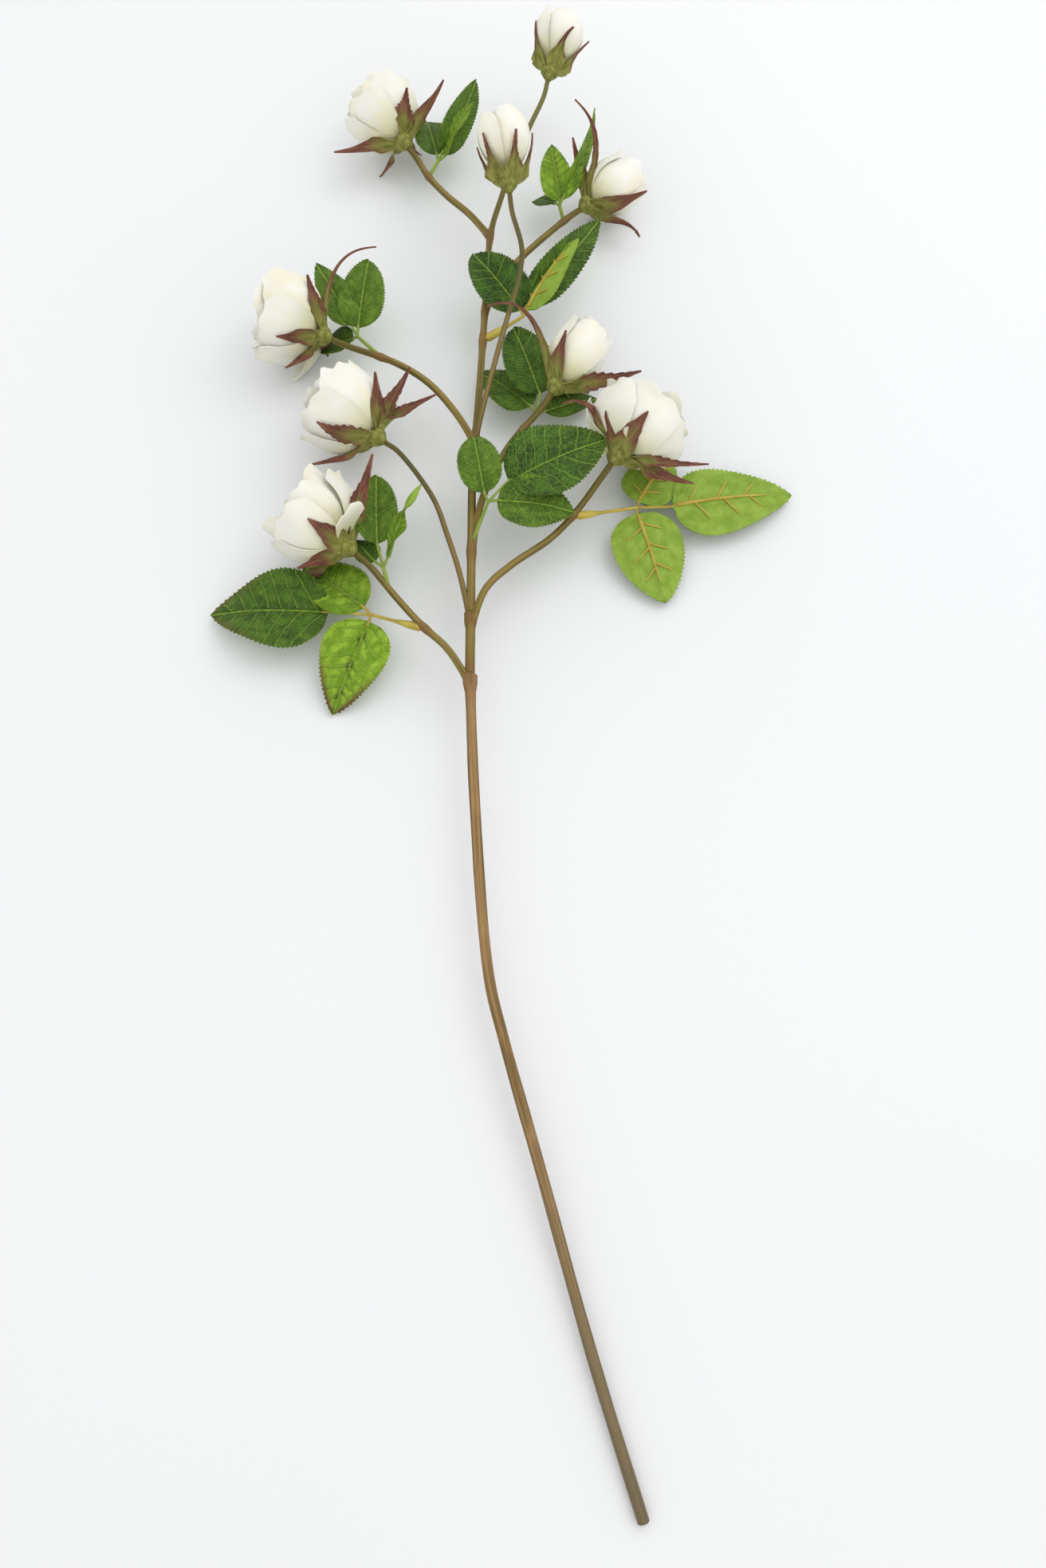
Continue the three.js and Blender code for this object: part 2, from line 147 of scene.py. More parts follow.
def add_bar(shape, route, radius, sides, **marks):
    """A round bar along a route, with its ends closed. The radius is one for all or one for each place."""
    radius = np.broadcast_to(radius, len(route)).astype(float)
    along = unit(np.gradient(route, axis=0))
    edge = radius[[0, -1]] * CUT_BEVEL
    past_start = route[:1] + along[0] * edge[0]
    before_end = route[-1:] - along[-1] * edge[1]
    route = np.concatenate([route[:1], past_start, route[1:-1], before_end, route[-1:]])
    radius = np.concatenate([[radius[0] - edge[0]], radius, [radius[-1] - edge[1]]])
    along = np.concatenate([along[:1], along, along[-1:]])
    passed = lengths_along(route)
    side = np.cross(along[0], (0, 0, 1))
    angles = np.linspace(0, 2 * np.pi, sides, endpoint=False)
    rings = []
    for place, ahead, size in zip(route, along, radius):
        side = unit(side - ahead * (side @ ahead))
        top = np.cross(side, ahead)
        rings.append(place + size * (np.outer(np.cos(angles), side) + np.outer(np.sin(angles), top)))
    corners = np.concatenate([*rings, route[[0, -1]]])
    count, last = len(route), len(route) * sides
    turns = [(j, (j + 1) % sides) for j in range(sides)]
    faces = [(i * sides + j, (i + 1) * sides + j, (i + 1) * sides + k, i * sides + k)
             for i in range(count - 1) for j, k in turns]
    faces += [(last, j, k) for j, k in turns]
    faces += [(last + 1, last - sides + k, last - sides + j) for j, k in turns]
    run = np.stack([
        np.outer(radius, np.cos(angles)).ravel(),
        np.outer(radius, np.sin(angles)).ravel(),
        np.repeat(passed, sides),
    ], axis=1)
    run = np.concatenate([run, [[0, 0, 0], [0, 0, passed[-1]]]])
    shape.add(corners, faces, run=run, **marks)


def swollen(route, radius, places, size, reach):
    """Radii along a route that swell by `size` within about `reach` of some places."""
    radius = np.linspace(*radius, len(route)) if np.ndim(radius) else np.full(len(route), float(radius))
    for place in places:
        away = np.linalg.norm(route - np.array(place, float), axis=1)
        radius = radius + size * np.exp(-(away / reach) ** 2)
    return radius


def with_cup(route, radius):
    """Adds the wall of a cup to the radii near a route's far end, flared a little at its mouth."""
    left = lengths_along(route)[-1] - lengths_along(route)
    wall = CUP_WALL * (1 - eased(left, CUP_LENGTH - 2, CUP_LENGTH + 3))
    flare = CUP_FLARE * (1 - eased(left, 0, 1.5))
    return radius + wall + flare


class Reading:
    """A shader socket that plain sums can be written with."""

    def __init__(self, finish, socket):
        self.finish = finish
        self.socket = socket

    def math(self, operation, *values):
        return self.finish.node("Math", {"operation": operation}, dict(enumerate(values)))
    def __add__(self, other):
        return self.math("ADD", self, other)

    def __radd__(self, other):
        return self.math("ADD", other, self)

    def __sub__(self, other):
        return self.math("SUBTRACT", self, other)

    def __rsub__(self, other):
        return self.math("SUBTRACT", other, self)

    def __mul__(self, other):
        return self.math("MULTIPLY", self, other)

    def __rmul__(self, other):
        return self.math("MULTIPLY", other, self)

    def __abs__(self):
        return self.math("ABSOLUTE", self)

    def rise(self, start, end):
        """0 below start and 1 above end."""
        settings = {"interpolation_type": "SMOOTHSTEP"}
        return self.finish.node("MapRange", settings, {"Value": self, "From Min": start, "From Max": end})

    def wave(self):
        """A ripple from -1 to 1 that repeats as this value grows by 2 pi."""
        return self.math("SINE", self)

    def at_least(self, other):
        """The larger of this value and another."""
        return self.math("MAXIMUM", self, other)

    def to_line(self):
        """How far this value is from the nearest whole number."""
        return self.math("PINGPONG", self, 0.5)


class Finish:
    """One material and the shader nodes that give its look."""

    def __init__(self, name, constants):
        self.material = bpy.data.materials.new(name)
        self.material.use_nodes = True
        self.shader = self.material.node_tree.nodes["Principled BSDF"]
        for socket, value in constants.items():
            self.shader.inputs[socket].default_value = value

    def node(self, kind, settings, inputs, output=0):
        """A new node: its settings first, then what goes into its sockets."""
        made = self.material.node_tree.nodes.new("ShaderNode" + kind)
        for name, value in settings.items():
            setattr(made, name, value)
        for name, value in inputs.items():
            self.feed(made.inputs[name], value)
        return Reading(self, made.outputs[output])

    def feed(self, socket, value):
        if isinstance(value, Reading):
            self.material.node_tree.links.new(value.socket, socket)
        else:
            socket.default_value = value

    def mark(self, name, output="Fac"):
        """A value that the mesh carries on its corners."""
        return self.node("Attribute", {"attribute_name": name}, {}, output)

    def stretched(self, vector, sizes):
        """A vector with its three parts multiplied by different sizes."""
        return self.node("VectorMath", {"operation": "MULTIPLY"}, {0: vector, 1: sizes})

    def part(self, vector, axis):
        """One of a vector's three parts."""
        return self.node("SeparateXYZ", {}, {"Vector": vector}, axis)

    def noise(self, vector, sizes, detail):
        """Soft random patches, from 0 to 1, on a vector stretched by three sizes."""
        inputs = {"Vector": self.stretched(vector, sizes), "Scale": 1.0, "Detail": detail}
        return self.node("TexNoise", {}, inputs)

    def mixed(self, share, first, second):
        """A share of the way from the first colour to the second."""
        return self.node("Mix", {"data_type": "RGBA"}, {0: share, 6: first, 7: second}, 2)

    def finish(self, colour, roughness, height, depth):
        """Joins the colour, the roughness and a relief of that depth, in metres, to the shader."""
        inputs = {"Height": height, "Distance": depth, "Strength": 1.0}
        self.feed(self.shader.inputs["Base Color"], colour)
        self.feed(self.shader.inputs["Roughness"], roughness)
        self.feed(self.shader.inputs["Normal"], self.node("Bump", {}, inputs))
        return self.material


def paint(red, green, blue, strength=1):
    """A shader colour from a screen colour of 0 to 255 parts, made lighter or darker by its strength."""
    linear = [((part * strength / 255 + 0.055) / 1.055) ** 2.4 for part in (red, green, blue)]
    return (*linear, 1)


def stem_plastic(name, dull, warm, joint, tint=None, span=None):
    """Moulded stem plastic, streaked with paint along its length. A tint comes in over a span of it."""
    look = Finish(name, {"Specular IOR Level": 0.25})
    run = look.mark("run", "Vector")
    streaks = look.noise(run, (0.55, 0.55, 0.012), detail=4)
    patches = look.noise(run, (0.12, 0.12, 0.05), detail=2)
    grain = look.noise(run, (2.5, 2.5, 0.35), detail=3)
    colour = look.mixed(streaks.rise(0.36, 0.66), paint(*dull), paint(*warm))
    colour = look.mixed(patches.rise(0.5, 0.75) * 0.35, colour, paint(*warm, strength=1.18))
    if tint:
        tinted = look.part(run, 2).rise(*span) * (0.5 + 0.4 * patches)
        colour = look.mixed(tinted, colour, paint(*tint))
    colour = look.mixed(look.mark("joint") * (0.35 + 0.5 * grain), colour, paint(*joint))
    colour = look.mixed(grain.rise(0.55, 0.8) * 0.2, colour, paint(*dull, strength=0.6))
    return look.finish(colour, roughness=0.5 + 0.2 * grain, height=grain + 0.6 * streaks, depth=0.0003)


def make_piece(name, shape, finish, slot, *nodes):
    """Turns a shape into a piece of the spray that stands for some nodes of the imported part."""
    corners = np.concatenate(shape.corners)
    corners[:, 2] = np.maximum(corners[:, 2], LOWEST)
    corners = (corners + CUT_END) * MM
    mesh = bpy.data.meshes.new(name)
    mesh.from_pydata(corners.tolist(), [], shape.faces)
    for mark, parts in shape.marks.items():
        values = np.concatenate(parts).astype(np.float32)
        kind, key = ("FLOAT_VECTOR", "vector") if values.ndim > 1 else ("FLOAT", "value")
        mesh.attributes.new(mark, kind, "POINT").data.foreach_set(key, values.ravel())
    mesh.polygons.foreach_set("use_smooth", [True] * len(mesh.polygons))
    mesh.set_sharp_from_angle(angle=math.radians(SHARP_EDGE))
    mesh.materials.append(finish)
    piece = bpy.data.objects.new(name, mesh)
    bpy.context.scene.collection.objects.link(piece)
    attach(piece, "root")
    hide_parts(*nodes)


def joint_marks(route, places, reach):
    """1 at the given places along a route, fading to 0 at `reach`: where two mouldings meet."""
    near = [np.linalg.norm(route - np.array(place, float), axis=1) for place in places]
    return 1 - eased(np.min(near, axis=0), 0.3 * reach, reach)


def make_stem(name, route, radius, finish, joints, sides=16, reach=9):
    """One length of stem as a piece, rubbed with another colour where other mouldings join it."""
    shape = Shape()
    add_bar(shape, route, radius, sides)
    marks = joint_marks(route, joints, reach)
    marks = np.concatenate([marks[:1], marks, marks[-1:]])
    shape.marks["joint"] = [np.concatenate([np.repeat(marks, sides), marks[[0, -1]]])]
    make_piece(f"shaped_{name}", shape, finish, "stem_plastic", name)


brown_plastic = stem_plastic(
    "brown_stem_plastic", dull=(100, 80, 42), warm=(154, 122, 78), joint=(128, 92, 62),
    tint=(96, 90, 72), span=(220, 20),
)
lower_route = smooth_route(LOWER_ROUTE, step=2.5)
lower_radius = swollen(lower_route, LOWER_RADIUS, [LOWER_KNOT], KNOT_SWELL, KNOT_REACH)
ripples = sum(depth * np.sin(lengths_along(lower_route) / turn) for depth, turn in RIPPLES)
make_stem("lower_stem", lower_route, with_cup(lower_route, lower_radius + ripples), brown_plastic,
          [LOWER_ROUTE[-1]], sides=20, reach=22)


# ---- Middle and upper stem ----
# Two more mouldings end to end, thinner and greener: the middle stem sits in the lower one's cup and ends in
# a cup of its own, the crown, where three stems part. The upper stem runs on from there to the top bud.

FORK = LOWER_ROUTE[-1]
CROWN = (-80, 430, 22.5)
MIDDLE_RADIUS = (2.6, 2.6)
UPPER_RADIUS = (2.4, 1.35)
NECK_RUN = 9
JOINT_SWELL = 0.55

# Each head: its form, where its neck is, the way it faces in degrees round from +X, how far it tilts up, and
# its bloom's greatest radius and its depth.
HEADS = {
    "top_bud": dict(form="bud", neck=(-38, 766, 49), heading=76, tilt=18, rim=14, depth=32),
    "side_bud": dict(form="bud", neck=(-60, 674, 58), heading=98, tilt=24, rim=13.5, depth=36),
    "rose_1": dict(form="open", neck=(-121, 740, 23.8), heading=122, rim=22, depth=36),
    "half_rose_1": dict(form="half open", neck=(-19, 697, 20), heading=40, rim=16, depth=34),
    "rose_2": dict(form="open", neck=(-160, 599, 27), heading=154, rim=25, depth=34),
    "rose_3": dict(form="open", neck=(-128, 532, 25.9), heading=142, rim=24, depth=38),
    "rose_4": dict(form="open", neck=(-141, 462, 27), heading=138, rim=25, depth=38),
    "half_rose_2": dict(form="half open", neck=(-37, 566, 22), heading=61, rim=15.5, depth=41),
    "rose_5": dict(form="open", neck=(-5, 516, 29.2), heading=58, rim=27, depth=35),
}


def head_axes(head):
    """The ways forward, up and to the right of a head, seen from behind it."""
    heading, tilt = math.radians(head["heading"]), math.radians(head.get("tilt", 0))
    level = np.array([math.cos(heading), math.sin(heading), 0])
    forward = level * math.cos(tilt) + np.array([0, 0, math.sin(tilt)])
    up = np.array([0, 0, math.cos(tilt)]) - level * math.sin(tilt)
    return forward, up, np.cross(forward, up)


def on_head(head, out, clock, ahead):
    """Places `out` from a head's axis and `ahead` of its neck. The clock is in degrees, 0 up and 90 right."""
    forward, up, right = head_axes(head)
    out, clock, ahead = (np.asarray(value, float)[..., None] for value in (out, clock, ahead))
    angle = np.radians(clock)
    return np.array(head["neck"]) + forward * ahead + out * (up * np.cos(angle) + right * np.sin(angle))


def neck_run(head):
    """The last straight stretch of a stem, in line with its head."""
    return [on_head(head, 0, 0, -NECK_RUN), on_head(head, 0, 0, 0)]


olive_plastic = stem_plastic(
    "olive_stem_plastic", dull=(88, 80, 32), warm=(136, 115, 58), joint=(118, 84, 48),
    tint=(98, 104, 52), span=(190, 330),
)
middle_route = smooth_route([FORK, CROWN], step=1.2)
middle_radius = with_cup(middle_route, np.linspace(*MIDDLE_RADIUS, len(middle_route)))
make_stem("middle_stem", middle_route, middle_radius, olive_plastic, [FORK, CROWN], reach=12)

UPPER_ROUTE = [
    CROWN, (-80, 471, 24), (-80, 510, 25), (-77, 560, 27), (-74, 620, 28), (-71, 671, 31),
    (-66, 690, 34), (-58, 715, 38), (-48, 739, 43), *neck_run(HEADS["top_bud"]),
]
UPPER_JOINTS = [(-80, 466, 24), (-79, 533, 26), (-75, 598, 27.5), (-74, 618, 28), (-72, 668, 30)]
upper_route = smooth_route(UPPER_ROUTE, step=2)
upper_radius = swollen(upper_route, UPPER_RADIUS, UPPER_JOINTS, JOINT_SWELL, reach=4.5)
make_stem("upper_stem", upper_route, upper_radius, olive_plastic, UPPER_JOINTS)
ROUTES = {"lower_stem": lower_route, "middle_stem": middle_route, "upper_stem": upper_route}


# ---- Side stems ----
# Eight thinner mouldings, each plugged into the stem that it leaves and bent by hand towards its own head.
# Two of them, to the side bud and to the third rose, are thinner still and of a darker olive.

SIDE_RADIUS = (2.0, 1.75)
THIN_RADIUS = (1.5, 1.4)
PLUG_SWELL = 0.5
PLUG_REACH = 5

# Each side stem, by its head: the stem that it leaves, its radii, and its route up to the head's neck.
SIDE_STEMS = {
    "side_bud": ["upper_stem", THIN_RADIUS, [
        (-78, 534, 26), (-72, 559, 36), (-65, 584, 44), (-60, 602, 48), (-55, 620, 52), (-53, 637, 55)]],
    "rose_1": ["upper_stem", SIDE_RADIUS, [
        (-72, 668, 30), (-84, 686, 29), (-97, 700, 28), (-109, 717, 26)]],
    "half_rose_1": ["upper_stem", SIDE_RADIUS, [
        (-74, 618, 28), (-69, 633, 28), (-62, 645, 27), (-50, 662, 25)]],
    "rose_2": ["upper_stem", SIDE_RADIUS, [
        (-79, 531, 26), (-90, 551, 27), (-105, 570, 27), (-123, 583, 27)]],
    "rose_3": ["middle_stem", THIN_RADIUS, [
        (-80, 424, 23), (-86, 452, 24), (-93, 475, 25), (-101, 497, 26)]],
    "rose_4": ["lower_stem", SIDE_RADIUS, [
        (-80, 391, 21.5), (-92, 409, 23), (-105, 421, 25), (-119, 437, 26)]],
    "half_rose_2": ["upper_stem", SIDE_RADIUS, [
        (-80, 466, 24), (-76, 490, 26), (-71, 506, 27), (-60, 530, 26)]],
    "rose_5": ["middle_stem", SIDE_RADIUS, [
        (-80, 422, 22), (-72, 443, 25), (-59, 456, 26), (-38, 471, 28), (-26, 484, 29)]],
}

# Where a leaf's sheath clips on a side stem.
LEAF_JOINTS = {
    "rose_1": (-109, 716, 27), "half_rose_1": (-27, 688, 21), "rose_2": (-132, 588, 27),
    "half_rose_2": (-53, 543, 25), "rose_5": (-26, 484, 28), "rose_4": (-104, 419, 25),
}


def nearest(route, place):
    """The place on a route that is nearest to another."""
    return route[np.argmin(np.linalg.norm(route - np.array(place, float), axis=1))]


thin_plastic = stem_plastic("thin_stem_plastic", dull=(84, 80, 40), warm=(128, 106, 60), joint=(112, 80, 50))
for name, (parent, radius, points) in SIDE_STEMS.items():
    stem = f"{name}_stem"
    start = nearest(ROUTES[parent], points[0])
    ROUTES[stem] = smooth_route([start, *points[1:], *neck_run(HEADS[name])], step=1.6)
    joints = [LEAF_JOINTS[name]] if name in LEAF_JOINTS else []
    thickness = swollen(ROUTES[stem], radius, joints, JOINT_SWELL, reach=3)
    thickness = thickness + PLUG_SWELL * np.exp(-(lengths_along(ROUTES[stem]) / PLUG_REACH) ** 2)
    finish = thin_plastic if radius is THIN_RADIUS else olive_plastic
    make_stem(stem, ROUTES[stem], thickness, finish, [start, *joints], sides=12, reach=7)


# ---- Calyxes ----
# Under each bloom, a green hip with five sepals moulded in one of soft plastic, rubbed with a red-brown that
# leaves the base green. The sepals were bent by hand: some lie on the bloom, some stand off or curl away.

HIP_RADIUS = 5.4
HIP_LENGTH = 9
SEPAL_WALL = 0.6
LONG_SEPAL = 50
SEPAL_JAGS = 9
PETAL_FOOT = HIP_LENGTH + 0.3

# Where a sepal's foot is: out from the head's axis, and ahead of its neck.
SEPAL_FOOT = (HIP_RADIUS * 0.66, HIP_LENGTH - 2.2)

# How far along a sepal its green reaches on a bud, where the hip is as green, and on a bloom.
BUD_GREEN = 0.4
BLOOM_GREEN = 0.22

# The hip's outline: places along it, and how thick it is there as a share of HIP_RADIUS.
HIP_PROFILE = [
    (0, 0.3), (0.9, 0.4), (2.2, 0.64), (3.8, 0.92), (5.4, 1.04), (7.0, 1.04), (8.3, 0.98), (HIP_LENGTH, 0.7),
]

# The petals that the sepals lie on, layer by layer from the outside in: how many, how wide one is as a share
# of the bloom's greatest radius, and the layer's profile, as places ahead of the hip (a share of the bloom's
# depth) and out from the axis (a share of its greatest radius).
LAYERS = {
    "open": {
        "outer_petals": (6, 1.5, [
            (0, 0.1), (0.04, 0.38), (0.14, 0.68), (0.34, 0.91), (0.58, 0.99), (0.78, 1.0), (0.9, 1.05)]),
        "middle_petals": (7, 1.2, [
            (0.03, 0.1), (0.1, 0.4), (0.3, 0.72), (0.55, 0.84), (0.8, 0.87), (0.98, 0.92)]),
        "inner_petals": (6, 1.1, [
            (0.05, 0.08), (0.14, 0.3), (0.35, 0.52), (0.6, 0.63), (0.85, 0.63), (1.02, 0.66)]),
        "heart": (4, 0.9, [(0.08, 0.06), (0.25, 0.24), (0.5, 0.36), (0.75, 0.34), (0.96, 0.24)]),
    },
    "half open": {
        "outer_petals": (5, 1.7, [
            (0, 0.12), (0.04, 0.46), (0.16, 0.8), (0.38, 1.0), (0.65, 0.98), (0.94, 0.84)]),
        "inner_petals": (5, 1.35, [(0.04, 0.1), (0.18, 0.46), (0.42, 0.72), (0.72, 0.72), (1.0, 0.6)]),
        "heart": (4, 0.9, [(0.08, 0.08), (0.3, 0.3), (0.6, 0.4), (0.95, 0.24)]),
    },
    "bud": {
        "outer_petals": (5, 1.75, [
            (0, 0.14), (0.06, 0.34), (0.2, 0.64), (0.4, 0.91), (0.57, 1.0), (0.78, 0.92), (1.0, 0.6)]),
        "heart": (4, 1.0, [(0.06, 0.1), (0.3, 0.42), (0.6, 0.56), (0.96, 0.4)]),
    },
}

# Each sepal: its clock place, its length, how far it leans off the head's axis at its foot, middle and tip,
# how far its tip sways round the clock, its width, and how deep the teeth on its edges are.
SEPALS = {
    "top_bud": [
        (305, 26, (44, 30, 14), -8, 11, 0),
        (20, 25, (44, 28, 60), 36, 11, 0),
        (88, 26, (44, 30, 36), 10, 11, 0),
        (160, 24, (44, 30, 16), 0, 11, 0),
        (232, 24, (44, 30, 16), 0, 11, 0),
    ],
    "side_bud": [
        (318, 27, (46, 30, 14), -10, 12, 0.2),
        (20, 26, (46, 28, 30), 6, 12, 0.2),
        (86, 28, (46, 32, 10), -8, 12, 0),
        (158, 24, (44, 30, 16), 0, 12, 0),
        (245, 26, (44, 30, 14), 0, 12, 0),
    ],
    "rose_1": [
        (28, 26, (50, 62, 66), 0, 10, 0.3),
        (60, 38, (74, 84, 72), -6, 8, 0),
        (272, 39, (66, 76, 64), 0, 9, 0),
        (150, 24, (70, 85, 80), 0, 6, 0),
        (215, 26, (75, 88, 80), 0, 6, 0),
    ],
    "half_rose_1": [
        (326, 58, (44, 60, 112), -14, 7.5, 0.15),
        (300, 35, (58, 74, 70), 10, 7, 0.1),
        (66, 34, (56, 36, 20), 0, 11, 0),
        (104, 34, (62, 50, 96), 0, 10, 0),
        (190, 26, (62, 60, 60), 0, 9, 0),
    ],
    "rose_2": [
        (34, 30, (58, 60, 62), 6, 9.5, 0.15),
        (66, 62, (66, 88, 156), -8, 5, 0),
        (306, 24, (58, 52, 44), 0, 9, 0),
        (262, 25, (72, 72, 60), 4, 8, 0),
        (170, 24, (80, 86, 84), 0, 6, 0),
    ],
    "rose_3": [
        (306, 29, (56, 36, 26), 12, 10, 0.3),
        (40, 31, (64, 62, 58), 6, 9, 0),
        (62, 38, (72, 92, 84), 0, 8.5, 0.15),
        (84, 38, (92, 112, 118), -8, 8, 0.15),
        (258, 37, (66, 58, 50), 8, 9, 0),
    ],
    "rose_4": [
        (338, 25, (64, 50, 46), 0, 13, 0),
        (60, 47, (60, 74, 70), -4, 9.5, 0.2),
        (276, 26, (74, 68, 66), 0, 9, 0),
        (232, 46, (66, 60, 52), 14, 8, 0.1),
        (150, 24, (78, 86, 84), 0, 6, 0),
    ],
    "half_rose_2": [
        (314, 66, (52, 70, 150), -10, 6.5, 0.1),
        (344, 28, (52, 40, 34), 0, 10, 0),
        (76, 45, (60, 58, 50), 0, 9.5, 0.3),
        (150, 24, (62, 66, 70), 0, 6, 0),
        (236, 24, (66, 60, 58), 0, 6.5, 0),
    ],
    "rose_5": [
        (296, 44, (54, 70, 150), 6, 5.5, 0),
        (322, 18, (66, 56, 52), 0, 6, 0),
        (14, 27, (66, 52, 44), 6, 13, 0),
        (96, 41, (72, 84, 72), 0, 10.5, 0.15),
        (80, 47, (74, 70, 60), 4, 6, 0.3),
    ],
}

# A sepal's outline: places along it, and how wide it is there as a share of its greatest width.
BUD_SEPAL = [(0, 0.5), (0.12, 0.82), (0.28, 1), (0.42, 0.46), (0.62, 0.2), (1, 0.06)]
SLENDER_SEPAL = [(0, 0.8), (0.08, 1), (0.2, 0.78), (0.36, 0.44), (0.6, 0.28), (1, 0.1)]
BROAD_SEPAL = [(0, 0.75), (0.12, 0.92), (0.3, 1), (0.5, 0.78), (0.72, 0.36), (1, 0.06)]


def add_sheet(shape, sheet, wall, **marks):
    """A thin closed sheet from a grid of places, `wall` thick on its other side. Marks are grids too."""
    rows, columns = sheet.shape[:2]
    facing = unit(np.cross(np.gradient(sheet, axis=0), np.gradient(sheet, axis=1)))
    corners = np.concatenate([sheet.reshape(-1, 3), (sheet - facing * wall).reshape(-1, 3)])
    at = np.arange(rows * columns).reshape(rows, columns)
    quads = np.stack([at[:-1, :-1], at[1:, :-1], at[1:, 1:], at[:-1, 1:]], axis=-1).reshape(-1, 4)
    faces = [tuple(quad) for quad in quads.tolist()]
    faces += [tuple(quad[::-1]) for quad in (quads + at.size).tolist()]
    rim = [*at[:, 0], *at[-1, 1:], *at[-2::-1, -1], *at[0, -2:0:-1]]
    faces += [(int(a), int(a + at.size), int(b + at.size), int(b)) for a, b in zip(rim, rim[1:] + rim[:1])]
    doubled = {}
    for name, value in marks.items():
        vector = np.ndim(value) == 3
        grid = np.broadcast_to(value, (rows, columns, 3) if vector else (rows, columns))
        flat = grid.reshape(-1, 3) if vector else grid.ravel()
        doubled[name] = np.concatenate([flat, flat])
    doubled["back"] = np.repeat([0.0, 1.0], at.size)
    shape.add(corners, faces, **doubled)


def settled(places):
    """Keeps what would go below the surface just above it, squeezed together near it."""
    squeeze = 2.5
    low = places[..., 2] < squeeze
    places[..., 2] = np.where(low, squeeze * np.exp((places[..., 2] - squeeze) / squeeze), places[..., 2])
    return places


def outside_bloom(head, places):
    """Moves places that would be inside a head's petals out to lie on them."""
    clearance = 1.0 if head["form"] == "bud" else 2.0
    softness = 0.5
    fuller = 1.05
    forward, _, _ = head_axes(head)
    from_neck = places - np.array(head["neck"])
    ahead = from_neck @ forward
    off_axis = from_neck - ahead[..., None] * forward
    out = np.linalg.norm(off_axis, axis=-1)
    heights, sides = np.array(LAYERS[head["form"]]["outer_petals"][2]).T
    share = (ahead - PETAL_FOOT) / head["depth"]
    wall = np.interp(share, heights, sides) * head["rim"] * fuller + clearance
    wall = wall * eased(share, -0.12, 0.02) * (1 - eased(share, 1.0, 1.2))
    clear = wall + softness * np.logaddexp(0, (out - wall) / softness)
    return places + off_axis * (clear / np.maximum(out, 0.1) - 1)[..., None]


def sepal_line(head, s, clock, length, leans, sway):
    """A sepal's middle line, and the ways ahead along it and out from the head's axis at each place."""
    forward, _, _ = head_axes(head)
    lean = leans[0] + (leans[1] - leans[0]) * eased(s, 0, 0.55) + (leans[2] - leans[1]) * eased(s, 0.4, 1)
    lean = np.radians(lean)[:, None]
    outwards = on_head(head, 1, clock + sway * s ** 1.5, 0) - np.array(head["neck"])
    heading = forward * np.cos(lean) + outwards * np.sin(lean)
    out, ahead = SEPAL_FOOT
    foot = on_head(head, out, clock, ahead)
    steps = np.concatenate([[[0, 0, 0]], np.cumsum((heading[1:] + heading[:-1]) / 2, axis=0)])
    return foot + steps * length / (len(s) - 1), heading, outwards


def sepal_width_ways(s, heading, outwards, lean):
    """The way across a sepal at each place, rolled to lie level where the sepal leans far out."""
    sideways = unit(np.cross(heading, outwards))
    level = unit(np.cross(heading, (0, 0, 1)))
    level = level * np.where(np.sum(sideways * level, axis=-1)[len(s) // 2] < 0, -1, 1)
    rolled = (0.9 * eased(lean, 44, 64) * eased(s, 0.1, 0.45))[:, None]
    sideways = unit(between(sideways, level, rolled))
    return unit(sideways - heading * np.sum(sideways * heading, axis=-1)[:, None])


def add_sepal(shape, head, clock, length, leans, sway, width, teeth):
    """One sepal: a tapering blade from the hip, hollow towards the bloom, jagged if it has teeth."""
    rows, columns = 40, 9
    bud = head["form"] == "bud"
    s = np.linspace(0, 1, rows)
    t = np.linspace(-1, 1, columns)
    middle, heading, outwards = sepal_line(head, s, clock, length, leans, sway)
    sideways = sepal_width_ways(s, heading, outwards, leans[1])
    face = np.cross(sideways, heading)
    outline = BUD_SEPAL if bud else SLENDER_SEPAL if length > LONG_SEPAL else BROAD_SEPAL
    jag = 1.4 * ((s * SEPAL_JAGS) % 1) - 0.4
    jag = jag * teeth * eased(s, 0.2, 0.35) * (1 - eased(s, 0.85, 1))
    half = (width / 2 * np.interp(s, *zip(*outline)) * (1 + jag))[:, None]
    curl = 0.55 if bud else 0.3
    hollow = half * (curl * t ** 2 + 0.1 * np.abs(t))
    sheet = middle[:, None] + sideways[:, None] * (half * t)[..., None] + face[:, None] * hollow[..., None]
    sheet = settled(outside_bloom(head, sheet))
    along = np.broadcast_to(s[:, None], (rows, columns))
    across = np.broadcast_to(np.abs(t), (rows, columns))
    run = np.stack([half * t, along * length, np.full((rows, columns), float(clock))], axis=-1)
    add_sheet(shape, sheet[:, ::-1], SEPAL_WALL, run=run[:, ::-1], along=along, across=across,
              green=BUD_GREEN if bud else BLOOM_GREEN)


